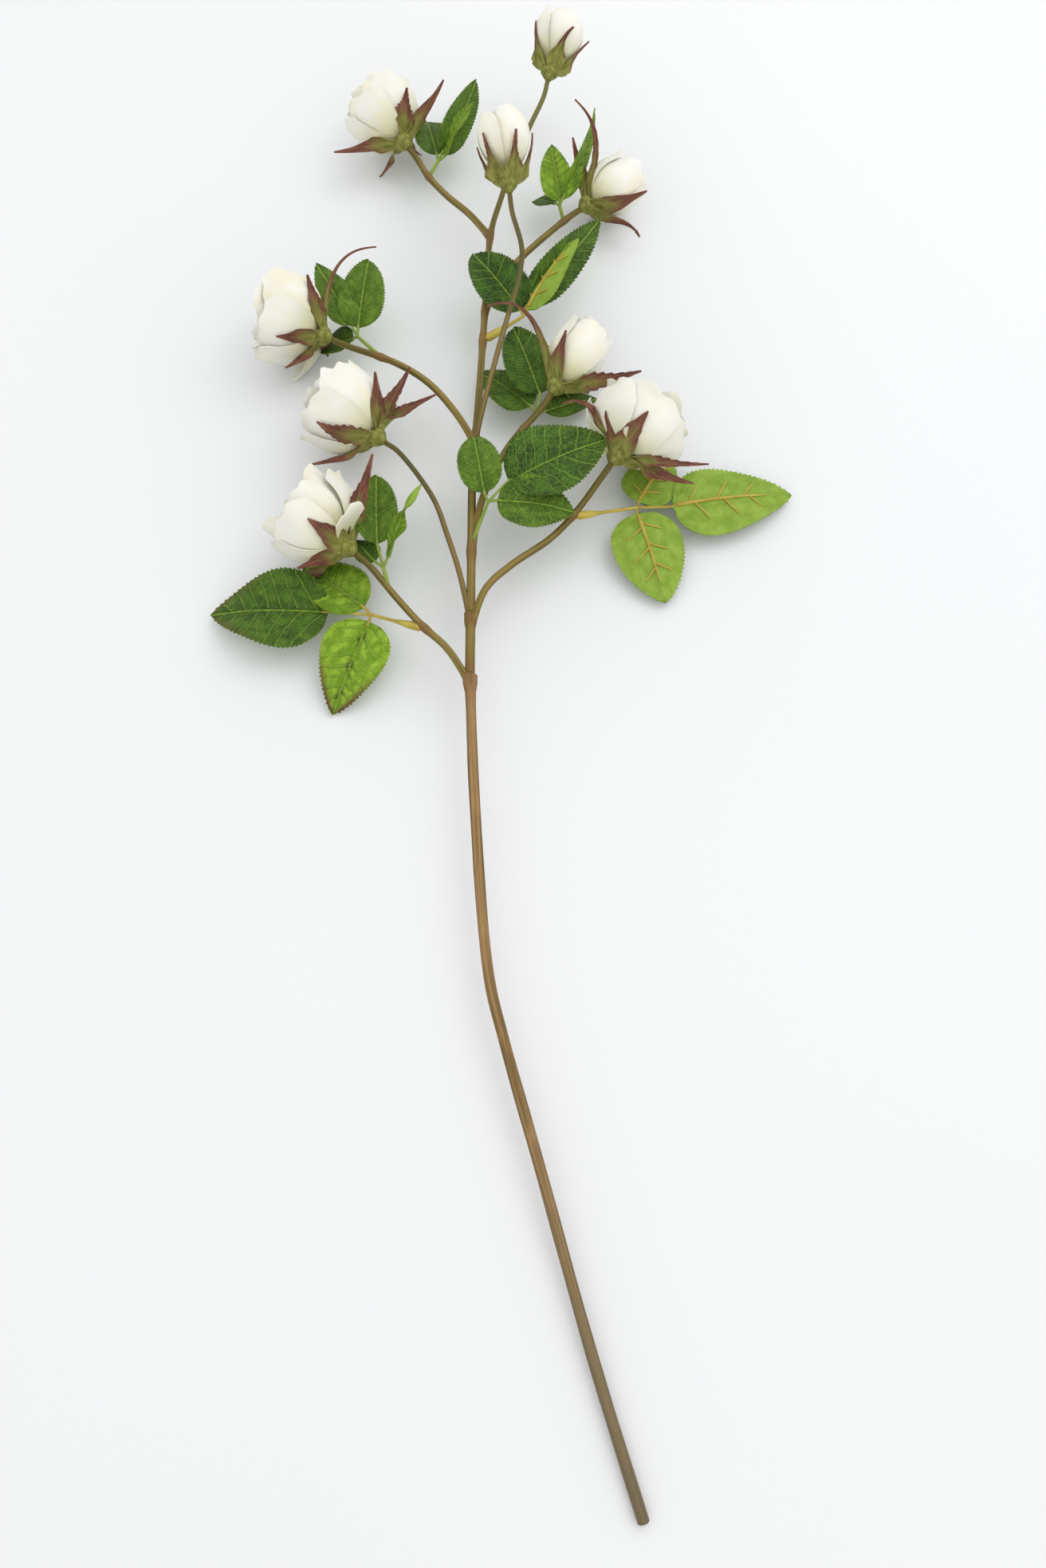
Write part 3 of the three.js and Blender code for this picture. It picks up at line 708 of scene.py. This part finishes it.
def calyx_plastic(name):
    """Soft green plastic, rubbed red-brown beyond the sepals' feet and at their edges."""
    look = Finish(name, {"Specular IOR Level": 0.2, "Subsurface Weight": 0.04, "Subsurface Scale": 0.001})
    run = look.mark("run", "Vector")
    along, across = look.mark("along"), look.mark("across")
    blotches = look.noise(run, (0.35, 0.16, 0.35), detail=4)
    streaks = look.noise(run, (1.6, 0.1, 1.0), detail=3)
    grain = look.noise(run, (2.6, 2.6, 1.0), detail=2)
    green = look.mixed(blotches.rise(0.3, 0.7), paint(108, 112, 48), paint(158, 158, 84))
    red = look.mixed(streaks.rise(0.35, 0.68), paint(92, 54, 44), paint(134, 90, 70))
    rubbed = (along - look.mark("green") + 0.22 * across + 0.8 * (blotches - 0.5)).rise(0.0, 0.45)
    colour = look.mixed(rubbed, green, red)
    colour = look.mixed(grain.rise(0.6, 0.8) * 0.25, colour, paint(60, 42, 30))
    return look.finish(colour, roughness=0.62 + 0.15 * grain, height=grain + streaks, depth=0.00025)


calyx_finish = calyx_plastic("calyx_plastic")
for name, head in HEADS.items():
    shape = Shape()
    ahead = np.linspace(0, HIP_LENGTH, 22)
    radii = HIP_RADIUS * np.interp(ahead, *zip(*HIP_PROFILE))
    hip_marks = {"along": 0.0, "across": 0.0, "back": 0.0, "green": BUD_GREEN}
    add_bar(shape, on_head(head, 0, 0, ahead), radii, sides=20, **hip_marks)
    for sepal in SEPALS[name]:
        add_sepal(shape, head, *sepal)
    make_piece(f"shaped_{name}_calyx", shape, calyx_finish, "calyx_plastic", f"{name}_calyx")


# ---- Petals ----
# Cream-white polyester petals, cut and hot-pressed into cups, threaded on the hip layer by layer with each
# edge under its neighbour's. Their feet are a darker yellow-green and their rims are left a little wavy.

PETAL_WALL = 0.35
PETAL_SEED = 40

# How far round the head, in radians, a petal's edge can lie from its middle.
WIDEST_ANGLE = 1.25

# How many degrees the lowest petals are pressed in by the surface, and by what share they are shorter.
PRESSED_IN = 7
PRESSED_SHORTER = 0.13

# Petals of the outer layer that have come open: which one, by how many degrees, and its share of the length.
LOOSE_PETALS = {"rose_2": {3: (18, 0.82)}, "rose_4": {0: (34, 0.6)}, "rose_5": {4: (6, 0.95)}}


def add_petal(shape, head, layer, clock, chance, opened, whole):
    """One petal: a cupped sheet that follows its layer's profile, with one edge outside the next petal's.

    It leans out by `opened` degrees, and it is a share `whole` of its full length.
    """
    _, width, profile = LAYERS[head["form"]][layer]
    pointed = 0.34 if head["form"] == "bud" else 0.22
    uneven = 1.0 if head["form"] == "open" else 0.35
    wavy = 0.45 if head["form"] != "open" else 0.6 if layer == "heart" else 1.0
    s = np.linspace(0, 1, 22)[:, None]
    t = np.linspace(-1, 1, 21)[None, :]

    # How far each place reaches along the profile: its rim is rounded and scalloped.
    corners = [(ahead * head["depth"], out * head["rim"], 0) for ahead, out in profile]
    line = smooth_route(corners, step=0.5)
    line_length = lengths_along(line)[-1]
    scallops = 0.04 * np.sin(4 * t + chance.uniform(0, 6)) + 0.018 * np.sin(11 * t + chance.uniform(0, 6))
    length = whole * (1 + uneven * chance.uniform(-0.17, 0.02))
    reach = s * length * (1 - pointed * np.abs(t) ** 2.4 + wavy * scallops * s ** 2)
    ahead = np.interp(reach, lengths_along(line) / line_length, line[:, 0])
    out = np.interp(reach, lengths_along(line) / line_length, line[:, 1])

    # How far it goes round the head, narrow at its foot and widest past its middle.
    half = width * whole * head["rim"] / 2 * between(0.3, 1, np.sin(np.clip(reach / 0.62, 0, 1) * np.pi / 2))
    half = half * (1 - 0.08 * eased(reach, 0.75, 1))
    angle = WIDEST_ANGLE * np.tanh(t * half / np.maximum(out, 2.5) / WIDEST_ANGLE)

    # It tips out about its foot, is a little flatter than the bloom is round, and has one edge outside.
    tilt = np.radians(opened + chance.uniform(-2, 3)) * eased(reach, 0, 0.6)
    leaning_out = out * np.cos(tilt) + ahead * np.sin(tilt)
    ahead = ahead * np.cos(tilt) - out * np.sin(tilt) * 0.8
    flatter = between(1, 1 / np.cos(np.clip(angle, -1.1, 1.1)), 0.07 + 0.008 * opened)
    out = leaning_out * flatter + 1.3 * t * eased(reach, 0.05, 0.4)

    # Its rim is ruffled and turned out.
    phase = chance.uniform(0, 6)
    ruffle = wavy * 1.2 * eased(reach, 0.35, 1.05) * np.sin(chance.uniform(3.2, 5.2) * t + phase)
    ruffle = ruffle + 0.45 * wavy * eased(reach, 0.75, 1.05) * np.sin(chance.uniform(9, 13) * t + phase)
    lip = eased(reach, 0.78, 1.0) ** 1.5 * chance.uniform(0.6, 3.2) * wavy
    out = out + ruffle + lip
    ahead = ahead + np.clip(reach - 1, 0, 1) * line_length - 0.5 * lip + 0.4 * ruffle
    places = on_head(head, np.maximum(out, 0.3), clock + np.degrees(angle), PETAL_FOOT + ahead)
    run = np.stack([half * t, reach * line_length, np.full(half.shape, chance.uniform(0, 90))], axis=-1)
    add_sheet(shape, settled(places), PETAL_WALL, run=run, along=reach, tone=chance.uniform(0, 1))


def petal_cloth(name):
    """Cream polyester with a fine weave, faint pressed veins and a darker yellow-green towards the feet."""
    constants = {
        "Specular IOR Level": 0.18, "Sheen Weight": 0.25, "Sheen Roughness": 0.5,
        "Subsurface Weight": 0.05, "Subsurface Radius": (1.0, 0.9, 0.75), "Subsurface Scale": 0.002,
    }
    look = Finish(name, constants)
    run = look.mark("run", "Vector")
    along, tone = look.mark("along"), look.mark("tone")
    patches = look.noise(run, (0.09, 0.05, 1.0), detail=2)
    veins = look.noise(run, (0.9, 0.06, 1.0), detail=3)
    thread_gap = 0.45
    threads = 2 * math.pi / thread_gap
    weave = (look.part(run, 0) * threads).wave() * (look.part(run, 1) * threads).wave()
    creamy = patches.rise(0.35, 0.7) * (0.5 + 0.5 * tone)
    colour = look.mixed(creamy, paint(254, 253, 243), paint(253, 248, 222))
    colour = look.mixed(veins.rise(0.5, 0.8) * 0.25, colour, paint(248, 243, 222))
    foot = 1 - (along + 0.25 * (patches - 0.5)).rise(0.05, 0.62)
    colour = look.mixed(foot * 0.8, colour, paint(224, 222, 152))
    relief = 0.35 * weave + 1.4 * veins + patches
    return look.finish(colour, roughness=0.82 + 0.1 * patches, height=relief, depth=0.00025)


petal_finish = petal_cloth("petal_cloth")
for number, (name, head) in enumerate(HEADS.items()):
    chance = np.random.default_rng(PETAL_SEED + number)
    for level, (layer, (count, _, _)) in enumerate(LAYERS[head["form"]].items()):
        shape = Shape()
        for place in range(count):
            clock = 360 / count * (place + 0.5 * level) + chance.uniform(-7, 7) + 15
            under = max(0.0, -math.cos(math.radians(clock)))
            opened, whole = -PRESSED_IN * under, 1 - PRESSED_SHORTER * under
            if level == 0 and place in LOOSE_PETALS.get(name, {}):
                opened, whole = LOOSE_PETALS[name][place]
            add_petal(shape, head, layer, clock, chance, opened, whole)
        make_piece(f"shaped_{name}_{layer}", shape, petal_finish, "petal_fabric", f"{name}_{layer}")


# ---- Leaves ----
# Nine leaves of three leaflets. Green polyester printed with veins on its face and pressed over a moulded
# plastic rib, which is the leaf's stalk, clips on a stem by a short sheath and carries the midribs beneath.

RIB_RADIUS = 0.9
PLAIN_SHEATH = 0.2
BLADE_WALL = 0.45
TEETH = 27
SIDE_VEINS = 8
PLAIN_NET = 0.35
LEAF_SEED = 70

# `by` is where a leaf leaves its stem and its node, `sheath` how thick its clip is and `veined` how strong
# its printed net is. `turn` leans a leaflet's upper side over, `twist` winds its tip round, `tone` goes from
# the darkest green to the brightest, `blush` is how brown its margin is, `blunt` how full its tip is, and
# `flip` lays it with its back up.
LEAVES = {
    "leaf_1": {"on": "rose_1", "by": [(-109, 716, 27), (-103, 728, 26)], "leaflets": [
        dict(foot=(-104, 733, 26), tip=(-112, 773, 14), width=20, tone=0.15),
        dict(foot=(-101, 733, 27), tip=(-80, 788, 30), width=18, turn=40, tone=0.2),
        dict(foot=(-99, 730, 28), tip=(-83, 763, 37), width=13, turn=-50, tone=0.65, twist=40)]},
    "leaf_2": {"on": "half_rose_1", "by": [(-27, 688, 21), (-31, 694, 27)], "leaflets": [
        dict(foot=(-31, 696, 28), tip=(-36, 733, 34), width=19, tone=0.8),
        dict(foot=(-29, 698, 29), tip=(-8, 756, 38), width=13, turn=58, tone=0.55, twist=25),
        dict(foot=(-34, 697, 26), tip=(-46, 712, 12), width=14, tone=0.15)]},
    "leaf_3": {"on": "upper", "by": [(-75, 598, 28), (-52, 613, 30)], "sheath": 1.4, "leaflets": [
        dict(foot=(-54, 617, 30), tip=(-81, 652, 36), width=30, tone=0.0, blunt=0.2),
        dict(foot=(-50, 622, 30), tip=(-6, 682, 31), width=22, turn=34, tone=0.1),
        dict(foot=(-50, 616, 31), tip=(-21, 659, 39), width=24, turn=-30, tone=0.8, flip=True)]},
    "leaf_4": {"on": "rose_2", "by": [(-132, 588, 27), (-146, 602, 26)], "leaflets": [
        dict(foot=(-146, 608, 26), tip=(-141, 651, 32), width=26, tone=0.3, blunt=0.15),
        dict(foot=(-150, 610, 26), tip=(-171, 648, 33), width=20, tone=0.25),
        dict(foot=(-149, 603, 23), tip=(-171, 608, 6), width=18, tone=0.1)]},
    "leaf_5": {"on": "half_rose_2", "by": [(-53, 543, 25), (-45, 555, 20)], "leaflets": [
        dict(foot=(-43, 568, 20), tip=(-58, 610, 25), width=28, tone=0.05, blunt=0.2),
        dict(foot=(-48, 562, 17), tip=(-78, 592, 8), width=25, tone=0.15),
        dict(foot=(-40, 560, 15), tip=(-10, 575, 6), width=16, tone=0.15)]},
    "leaf_6": {"on": "upper", "by": [(-80, 469, 25), (-71, 488, 37)], "veined": 0.65, "leaflets": [
        dict(foot=(-73, 493, 38), tip=(-79, 526, 42), width=23, tone=0.25, blunt=0.3),
        dict(foot=(-60, 500, 38), tip=(-8, 527, 37), width=42, tone=0.05, blunt=0.15),
        dict(foot=(-66, 489, 37), tip=(-25, 484, 35), width=31, tone=0.2, blunt=0.15)]},
    "leaf_7": {"on": "rose_5", "by": [(-26, 484, 28), (10, 499, 13)], "sheath": 1.3, "leaflets": [
        dict(foot=(30, 501, 11), tip=(97, 512, 4), width=41, tone=0.9, flip=True),
        dict(foot=(10, 496, 12), tip=(25, 445, 4), width=39, tone=0.95, flip=True, blunt=0.1),
        dict(foot=(11, 503, 12), tip=(30, 538, 4), width=30, tone=0.85, flip=True)]},
    "leaf_8": {"on": "rose_4", "by": [(-124, 442, 26), (-126, 453, 29)], "leaflets": [
        dict(foot=(-130, 468, 28), tip=(-132, 511, 28), width=23, tone=0.25, blunt=0.15),
        dict(foot=(-124, 458, 30), tip=(-107, 500, 34), width=9, turn=-60, tone=0.6, twist=260),
        dict(foot=(-131, 458, 27), tip=(-143, 474, 21), width=14, tone=0.1)]},
    "leaf_9": {"on": "rose_4", "by": [(-104, 419, 25), (-133, 431, 18)], "sheath": 1.3, "leaflets": [
        dict(foot=(-156, 434, 15), tip=(-221, 437, 8), width=45, tone=0.12, blush=0.5),
        dict(foot=(-134, 428, 16), tip=(-153, 380, 4), width=36, tone=0.95, blush=1.0),
        dict(foot=(-137, 436, 17), tip=(-173, 467, 6), width=30, tone=0.75)]},
}


def turned_about(axis, vector, degrees):
    """A vector turned about a unit axis that it is square to."""
    angle = np.radians(np.asarray(degrees, float))[..., None]
    return vector * np.cos(angle) + np.cross(axis, vector) * np.sin(angle)


class Leaflet:
    """Where one leaflet lies: places on it are given by how far along and how far across it they are."""

    def __init__(self, foot, tip, width, tone, veined, turn=0, twist=0, blunt=0, blush=0.12, flip=False):
        span = np.array(tip, float) - np.array(foot, float)
        self.start = np.array(foot, float)
        self.length = np.linalg.norm(span)
        self.ahead = span / self.length
        self.width = width
        self.twist = twist
        self.blunt = blunt
        self.flip = flip
        self.marks = {"tone": tone, "blush": blush, "veined": veined}
        side = unit(np.cross(self.ahead, (0, 0, 1)))
        self.side = turned_about(self.ahead, side, turn)
        self.face = np.cross(self.side, self.ahead)

    def half(self, s):
        """Half the leaflet's width at share s along it, without its teeth."""
        rise, fall = 0.42, 0.86 - self.blunt
        widest = rise / (rise + fall)
        taper = np.clip(s, 0, 1) ** rise * np.clip(1 - s, 0, 1) ** fall
        fullest = widest ** rise * (1 - widest) ** fall
        return np.maximum(self.width / 2 * taper / fullest, 0.3)

    def places(self, s, x, height):
        """Places at share s along, x across and that height above the leaflet's own sheet."""
        s, x, height = np.broadcast_arrays(*(np.asarray(v, float) for v in (s, x, height)))
        turn = self.twist * eased(s, 0.1, 1)
        side = turned_about(self.ahead, self.side, turn)
        face = np.cross(side, self.ahead)
        arch = 0.2 * self.length * s * (1 - s)
        place = self.start + self.ahead * (s * self.length)[..., None] + self.face * arch[..., None]
        return place + side * x[..., None] + face * height[..., None]


def add_blade(shape, leaflet, chance):
    """A leaflet's cloth: toothed at the edge, folded along its midrib and pressed between its side veins."""
    tooth = (np.arange(TEETH)[:, None] + [0.0, 0.45, 0.93]).ravel() / TEETH
    s = np.concatenate([tooth, [1.0]])[:, None]
    u = np.linspace(-1, 1, 19)[None, :]
    t = np.sign(u) * np.abs(u) ** 1.35
    side = np.where(t > 0, 1.0, -1.0)

    # The outline, with teeth that point to the tip.
    jag = ((s * TEETH) % 1) * eased(s, 0.04, 0.2) * (1 - eased(s, 0.96, 1)) - 0.4
    uneven = 1 + 0.35 * np.sin(s * TEETH * 2.3 + chance.uniform(0, 6)) * np.sign(t)
    tooth_depth = min(1.2, 0.042 * leaflet.width)
    x = (leaflet.half(s) + jag * uneven * tooth_depth * np.abs(t) ** 5) * t

    # The relief: slow waves at the edges, puffs between the side veins, a groove over the midrib, a bent tip.
    wave = chance.uniform(0.5, 1.1) * leaflet.width / 24
    phase = 2 * np.pi * (1.3 * s + chance.uniform(0, 1)) + side * chance.uniform(0.4, 1.4)
    ripple = wave * np.sin(phase) * np.abs(t) ** 1.6 * eased(s, 0.02, 0.2)
    crowded = 0.05 * np.sin(7 * s + chance.uniform(0, 6)) + 0.03 * side * np.sin(4 * s)
    veins = SIDE_VEINS * (s + crowded - 0.2 * np.abs(t) * (1 - 0.5 * s)) + 0.25 * side
    puffs = np.abs(np.sin(np.pi * veins)) * np.sin(np.pi * np.abs(t) ** 0.7) * (1 - s)
    puff_height = 0.035 * leaflet.width ** 0.8 * (0.5 if leaflet.flip else 1)
    groove = 0.5 * np.exp(-(x / 1.1) ** 2)
    droop = 0.05 * leaflet.length * eased(s, 0.6, 1.0) * chance.uniform(0.2, 1)
    height = 0.15 * np.abs(x) + ripple + puffs * puff_height - groove
    height = -0.6 * height if leaflet.flip else height - droop

    sheet = settled(leaflet.places(s, x, height))
    run = np.stack([x, s * leaflet.length + 0 * x, np.full(x.shape, chance.uniform(0, 90))], axis=-1)
    marks = {"along": s, "across": np.abs(t), "vein": veins, **leaflet.marks}
    marks = {name: np.broadcast_to(value, x.shape) for name, value in marks.items()}
    order = slice(None, None, -1 if leaflet.flip else 1)
    marks = {name: value[:, order] for name, value in {"run": run, **marks}.items()}
    add_sheet(shape, sheet[:, order], -BLADE_WALL, **marks)


def add_leaflet_ribs(shape, leaflet, node, pale):
    """The moulded rib under a leaflet: its midrib, and side ribs in pairs where it is wide enough."""
    below = 1 if leaflet.flip else -1
    shown = float(leaflet.flip)
    sink = below * (0.2 + BLADE_WALL)
    height = sink + (0.3 if leaflet.flip else -0.5)
    slope = -0.09 if leaflet.flip else -0.15
    stout = min(1, leaflet.width / 30 + 0.3) * (1.35 if leaflet.flip else 1)
    stalk = smooth_route([node, leaflet.start, leaflet.places(0.05, 0, sink)], step=1)
    add_bar(shape, stalk, RIB_RADIUS * 0.85, sides=8, pale=pale)
    midrib = leaflet.places(np.linspace(0.03, 0.78, 30), 0, height)
    add_bar(shape, settled(midrib), np.linspace(0.8, 0.28, 30) * stout, sides=8, pale=shown)
    for at in (0.12, 0.36, 0.58) if leaflet.width > 16 else ():
        for way in (-1, 1):
            t = np.linspace(0, 0.55, 10)
            reach = at + 0.05 * (way > 0) + 0.2 * t
            x = way * t * leaflet.half(reach)
            side_rib = leaflet.places(reach, x, height + slope * np.abs(x))
            add_bar(shape, settled(side_rib), np.linspace(0.5, 0.22, 10) * stout, sides=6, pale=shown)


def rib_plastic(name):
    """Yellow-green moulded plastic, more ochre on the ribs that show on a leaf's back."""
    look = Finish(name, {"Specular IOR Level": 0.4})
    run = look.mark("run", "Vector")
    grain = look.noise(run, (1.5, 1.5, 0.2), detail=3)
    patches = look.noise(run, (0.2, 0.2, 0.08), detail=2)
    green = look.mixed(patches.rise(0.35, 0.7), paint(104, 138, 48), paint(146, 156, 64))
    ochre = look.mixed(patches.rise(0.35, 0.7), paint(168, 144, 50), paint(196, 180, 84))
    colour = look.mixed(look.mark("pale"), green, ochre)
    colour = look.mixed(grain.rise(0.55, 0.8) * 0.25, colour, paint(96, 100, 38))
    return look.finish(colour, roughness=0.5 + 0.2 * grain, height=grain, depth=0.0002)


def leaf_cloth(name):
    """Printed green cloth: light veins on its face with darker green beside them, partly print and partly
    painted crease shade; pale and plain behind.
    """
    look = Finish(name, {"Specular IOR Level": 0.2, "Subsurface Weight": 0.05, "Subsurface Scale": 0.001})
    run = look.mark("run", "Vector")
    marks = {mark: look.mark(mark) for mark in ("along", "across", "vein", "tone", "blush", "veined", "back")}
    mottle = look.noise(run, (0.2, 0.13, 1.0), detail=4)
    fibre = look.noise(run, (1.8, 1.8, 1.0), detail=3)
    cells = {"Vector": look.stretched(run, (0.34, 0.34, 1.0)), "Scale": 1.0}
    net = look.node("TexVoronoi", {"feature": "DISTANCE_TO_EDGE"}, cells)
    wander = 0.5 * (mottle - 0.5)
    from_vein = (marks["vein"] + wander).to_line()
    side_line = 1 - from_vein.rise(0.02, 0.075)
    beside = 1 - from_vein.rise(0.05, 0.3)
    middle = abs(look.part(run, 0))
    midrib = 1 - middle.rise(0.25, 0.6)
    near_midrib = 1 - middle.rise(0.4, 3.2)
    net_line = 1 - net.rise(0.0, 0.1)
    dark = look.mixed(mottle.rise(0.32, 0.7), paint(27, 57, 11), paint(55, 93, 21))
    bright = look.mixed(mottle.rise(0.32, 0.7), paint(104, 142, 24), paint(148, 182, 52))
    face = look.mixed(marks["tone"], dark, bright)
    # Darker green beside the side veins and along the midrib: partly the print, partly painted shade in the
    # creases there.
    print_and_crease_shade = (0.55 * beside * (1 - marks["across"]) + 0.6 * near_midrib) * mottle.rise(0.35, 0.6)
    face = look.mixed(print_and_crease_shade * (0.65 + 0.35 * marks["blush"]), face, paint(34, 56, 12))
    lines = (side_line * 0.45 + 0.8 * midrib).at_least(net_line * 0.55 * marks["veined"])
    face = look.mixed(lines * 0.85, face, paint(142, 170, 62))
    margin = (marks["across"] * 0.55 + marks["along"] * 0.65 + 0.6 * wander).rise(0.75, 1.1) * marks["blush"]
    face = look.mixed(margin, face, paint(96, 66, 40))
    under = look.mixed(mottle.rise(0.3, 0.7), paint(118, 148, 46), paint(140, 168, 64))
    under = look.mixed(side_line * 0.1 + net_line * 0.08, under, paint(98, 130, 36))
    colour = look.mixed(marks["back"], face, under)
    puckers = 1.2 * from_vein.rise(0.0, 0.2) + 0.6 * net.rise(0.0, 0.15)
    relief = fibre * 0.5 + 0.8 * mottle + puckers * (1 - 0.75 * marks["back"])
    return look.finish(colour, roughness=0.46 + 0.2 * fibre, height=relief, depth=0.0005)


rib_finish = rib_plastic("leaf_rib_plastic")
leaf_finish = leaf_cloth("leaf_cloth")
for number, (name, leaf) in enumerate(LEAVES.items()):
    chance = np.random.default_rng(LEAF_SEED + number)
    near, node = (np.array(place, float) for place in leaf["by"])
    stalk = smooth_route([nearest(ROUTES[f"{leaf['on']}_stem"], near), node], step=1)
    passed = lengths_along(stalk)
    sheath = leaf.get("sheath", PLAIN_SHEATH)
    thickness = RIB_RADIUS + sheath * eased(passed, 1, 4) * (1 - eased(passed, 8, 20))
    ribs, blades = Shape(), Shape()
    pale = 0.9 if sheath > 1 else 0.1
    add_bar(ribs, stalk, thickness, sides=10, pale=pale)
    for sizes in leaf["leaflets"]:
        leaflet = Leaflet(veined=leaf.get("veined", PLAIN_NET), **sizes)
        add_blade(blades, leaflet, chance)
        add_leaflet_ribs(ribs, leaflet, node, pale)
    make_piece(f"{name}_ribs", ribs, rib_finish, "calyx_plastic", name)
    make_piece(f"{name}_blades", blades, leaf_finish, "leaf_fabric", name)


# ---- Surface, light and camera ----
# A plain white table top, a broad soft light from the far right and a white room all round. The camera
# stands over the lower stem and looks along it, pitched well down.

CAMERA_PLACE = (-52.49, 94.79, 680)
CAMERA_PITCH = 70
LENS = 32
SENSOR_HEIGHT = 36
SURFACE_SIDE = 6.0
WINDOW_PLACE = (0.9, 0.8, 1.6)
WINDOW_TARGET = (0, 0.1, 0)
WINDOW_SIDE = 1.5
WINDOW_POWER = 10
ROOM_BRIGHTNESS = 1.08

surface_mesh = bpy.data.meshes.new("surface")
reach = SURFACE_SIDE / 2
surface_corners = [(-reach, -reach, 0), (reach, -reach, 0), (reach, reach, 0), (-reach, reach, 0)]
surface_mesh.from_pydata(surface_corners, [], [(0, 1, 2, 3)])
surface = bpy.data.objects.new("surface", surface_mesh)
bpy.context.scene.collection.objects.link(surface)
white = Finish("white_surface", {"Specular IOR Level": 0.2})
clouds = white.noise(white.node("TexCoord", {}, {}, "Object"), (1.5, 1.5, 1.5), detail=2)
white_colour = white.mixed(clouds.rise(0.3, 0.7), paint(222, 224, 225), paint(225, 226, 227))
surface_mesh.materials.append(white.finish(white_colour, 0.6 + 0.1 * clouds, clouds, depth=0.0001))

room = bpy.data.worlds.new("room")
room.use_nodes = True
room.node_tree.nodes["Background"].inputs["Color"].default_value = (1.0, 1.0, 1.0, 1)
room.node_tree.nodes["Background"].inputs["Strength"].default_value = ROOM_BRIGHTNESS
bpy.context.scene.world = room


def soft_light(name, place, target, side, power):
    """A square area light that faces a target."""
    lamp = bpy.data.lights.new(name, "AREA")
    lamp.size = side
    lamp.energy = power
    light = bpy.data.objects.new(name, lamp)
    light.location = place
    away = np.array(place) - np.array(target)
    steep = math.atan2(math.hypot(away[0], away[1]), away[2])
    light.rotation_euler = (steep, 0, math.atan2(away[0], -away[1]))
    bpy.context.scene.collection.objects.link(light)


soft_light("window", WINDOW_PLACE, WINDOW_TARGET, WINDOW_SIDE, WINDOW_POWER)

lens = bpy.data.cameras.new("camera")
lens.sensor_fit = "VERTICAL"
lens.sensor_height = SENSOR_HEIGHT
lens.lens = LENS
camera = bpy.data.objects.new("camera", lens)
camera.location = tuple((np.array(CAMERA_PLACE) + CUT_END) * MM)
camera.rotation_euler = (math.radians(90 - CAMERA_PITCH), 0, 0)
bpy.context.scene.collection.objects.link(camera)
bpy.context.scene.camera = camera
bpy.context.scene.view_settings.view_transform = "Standard"
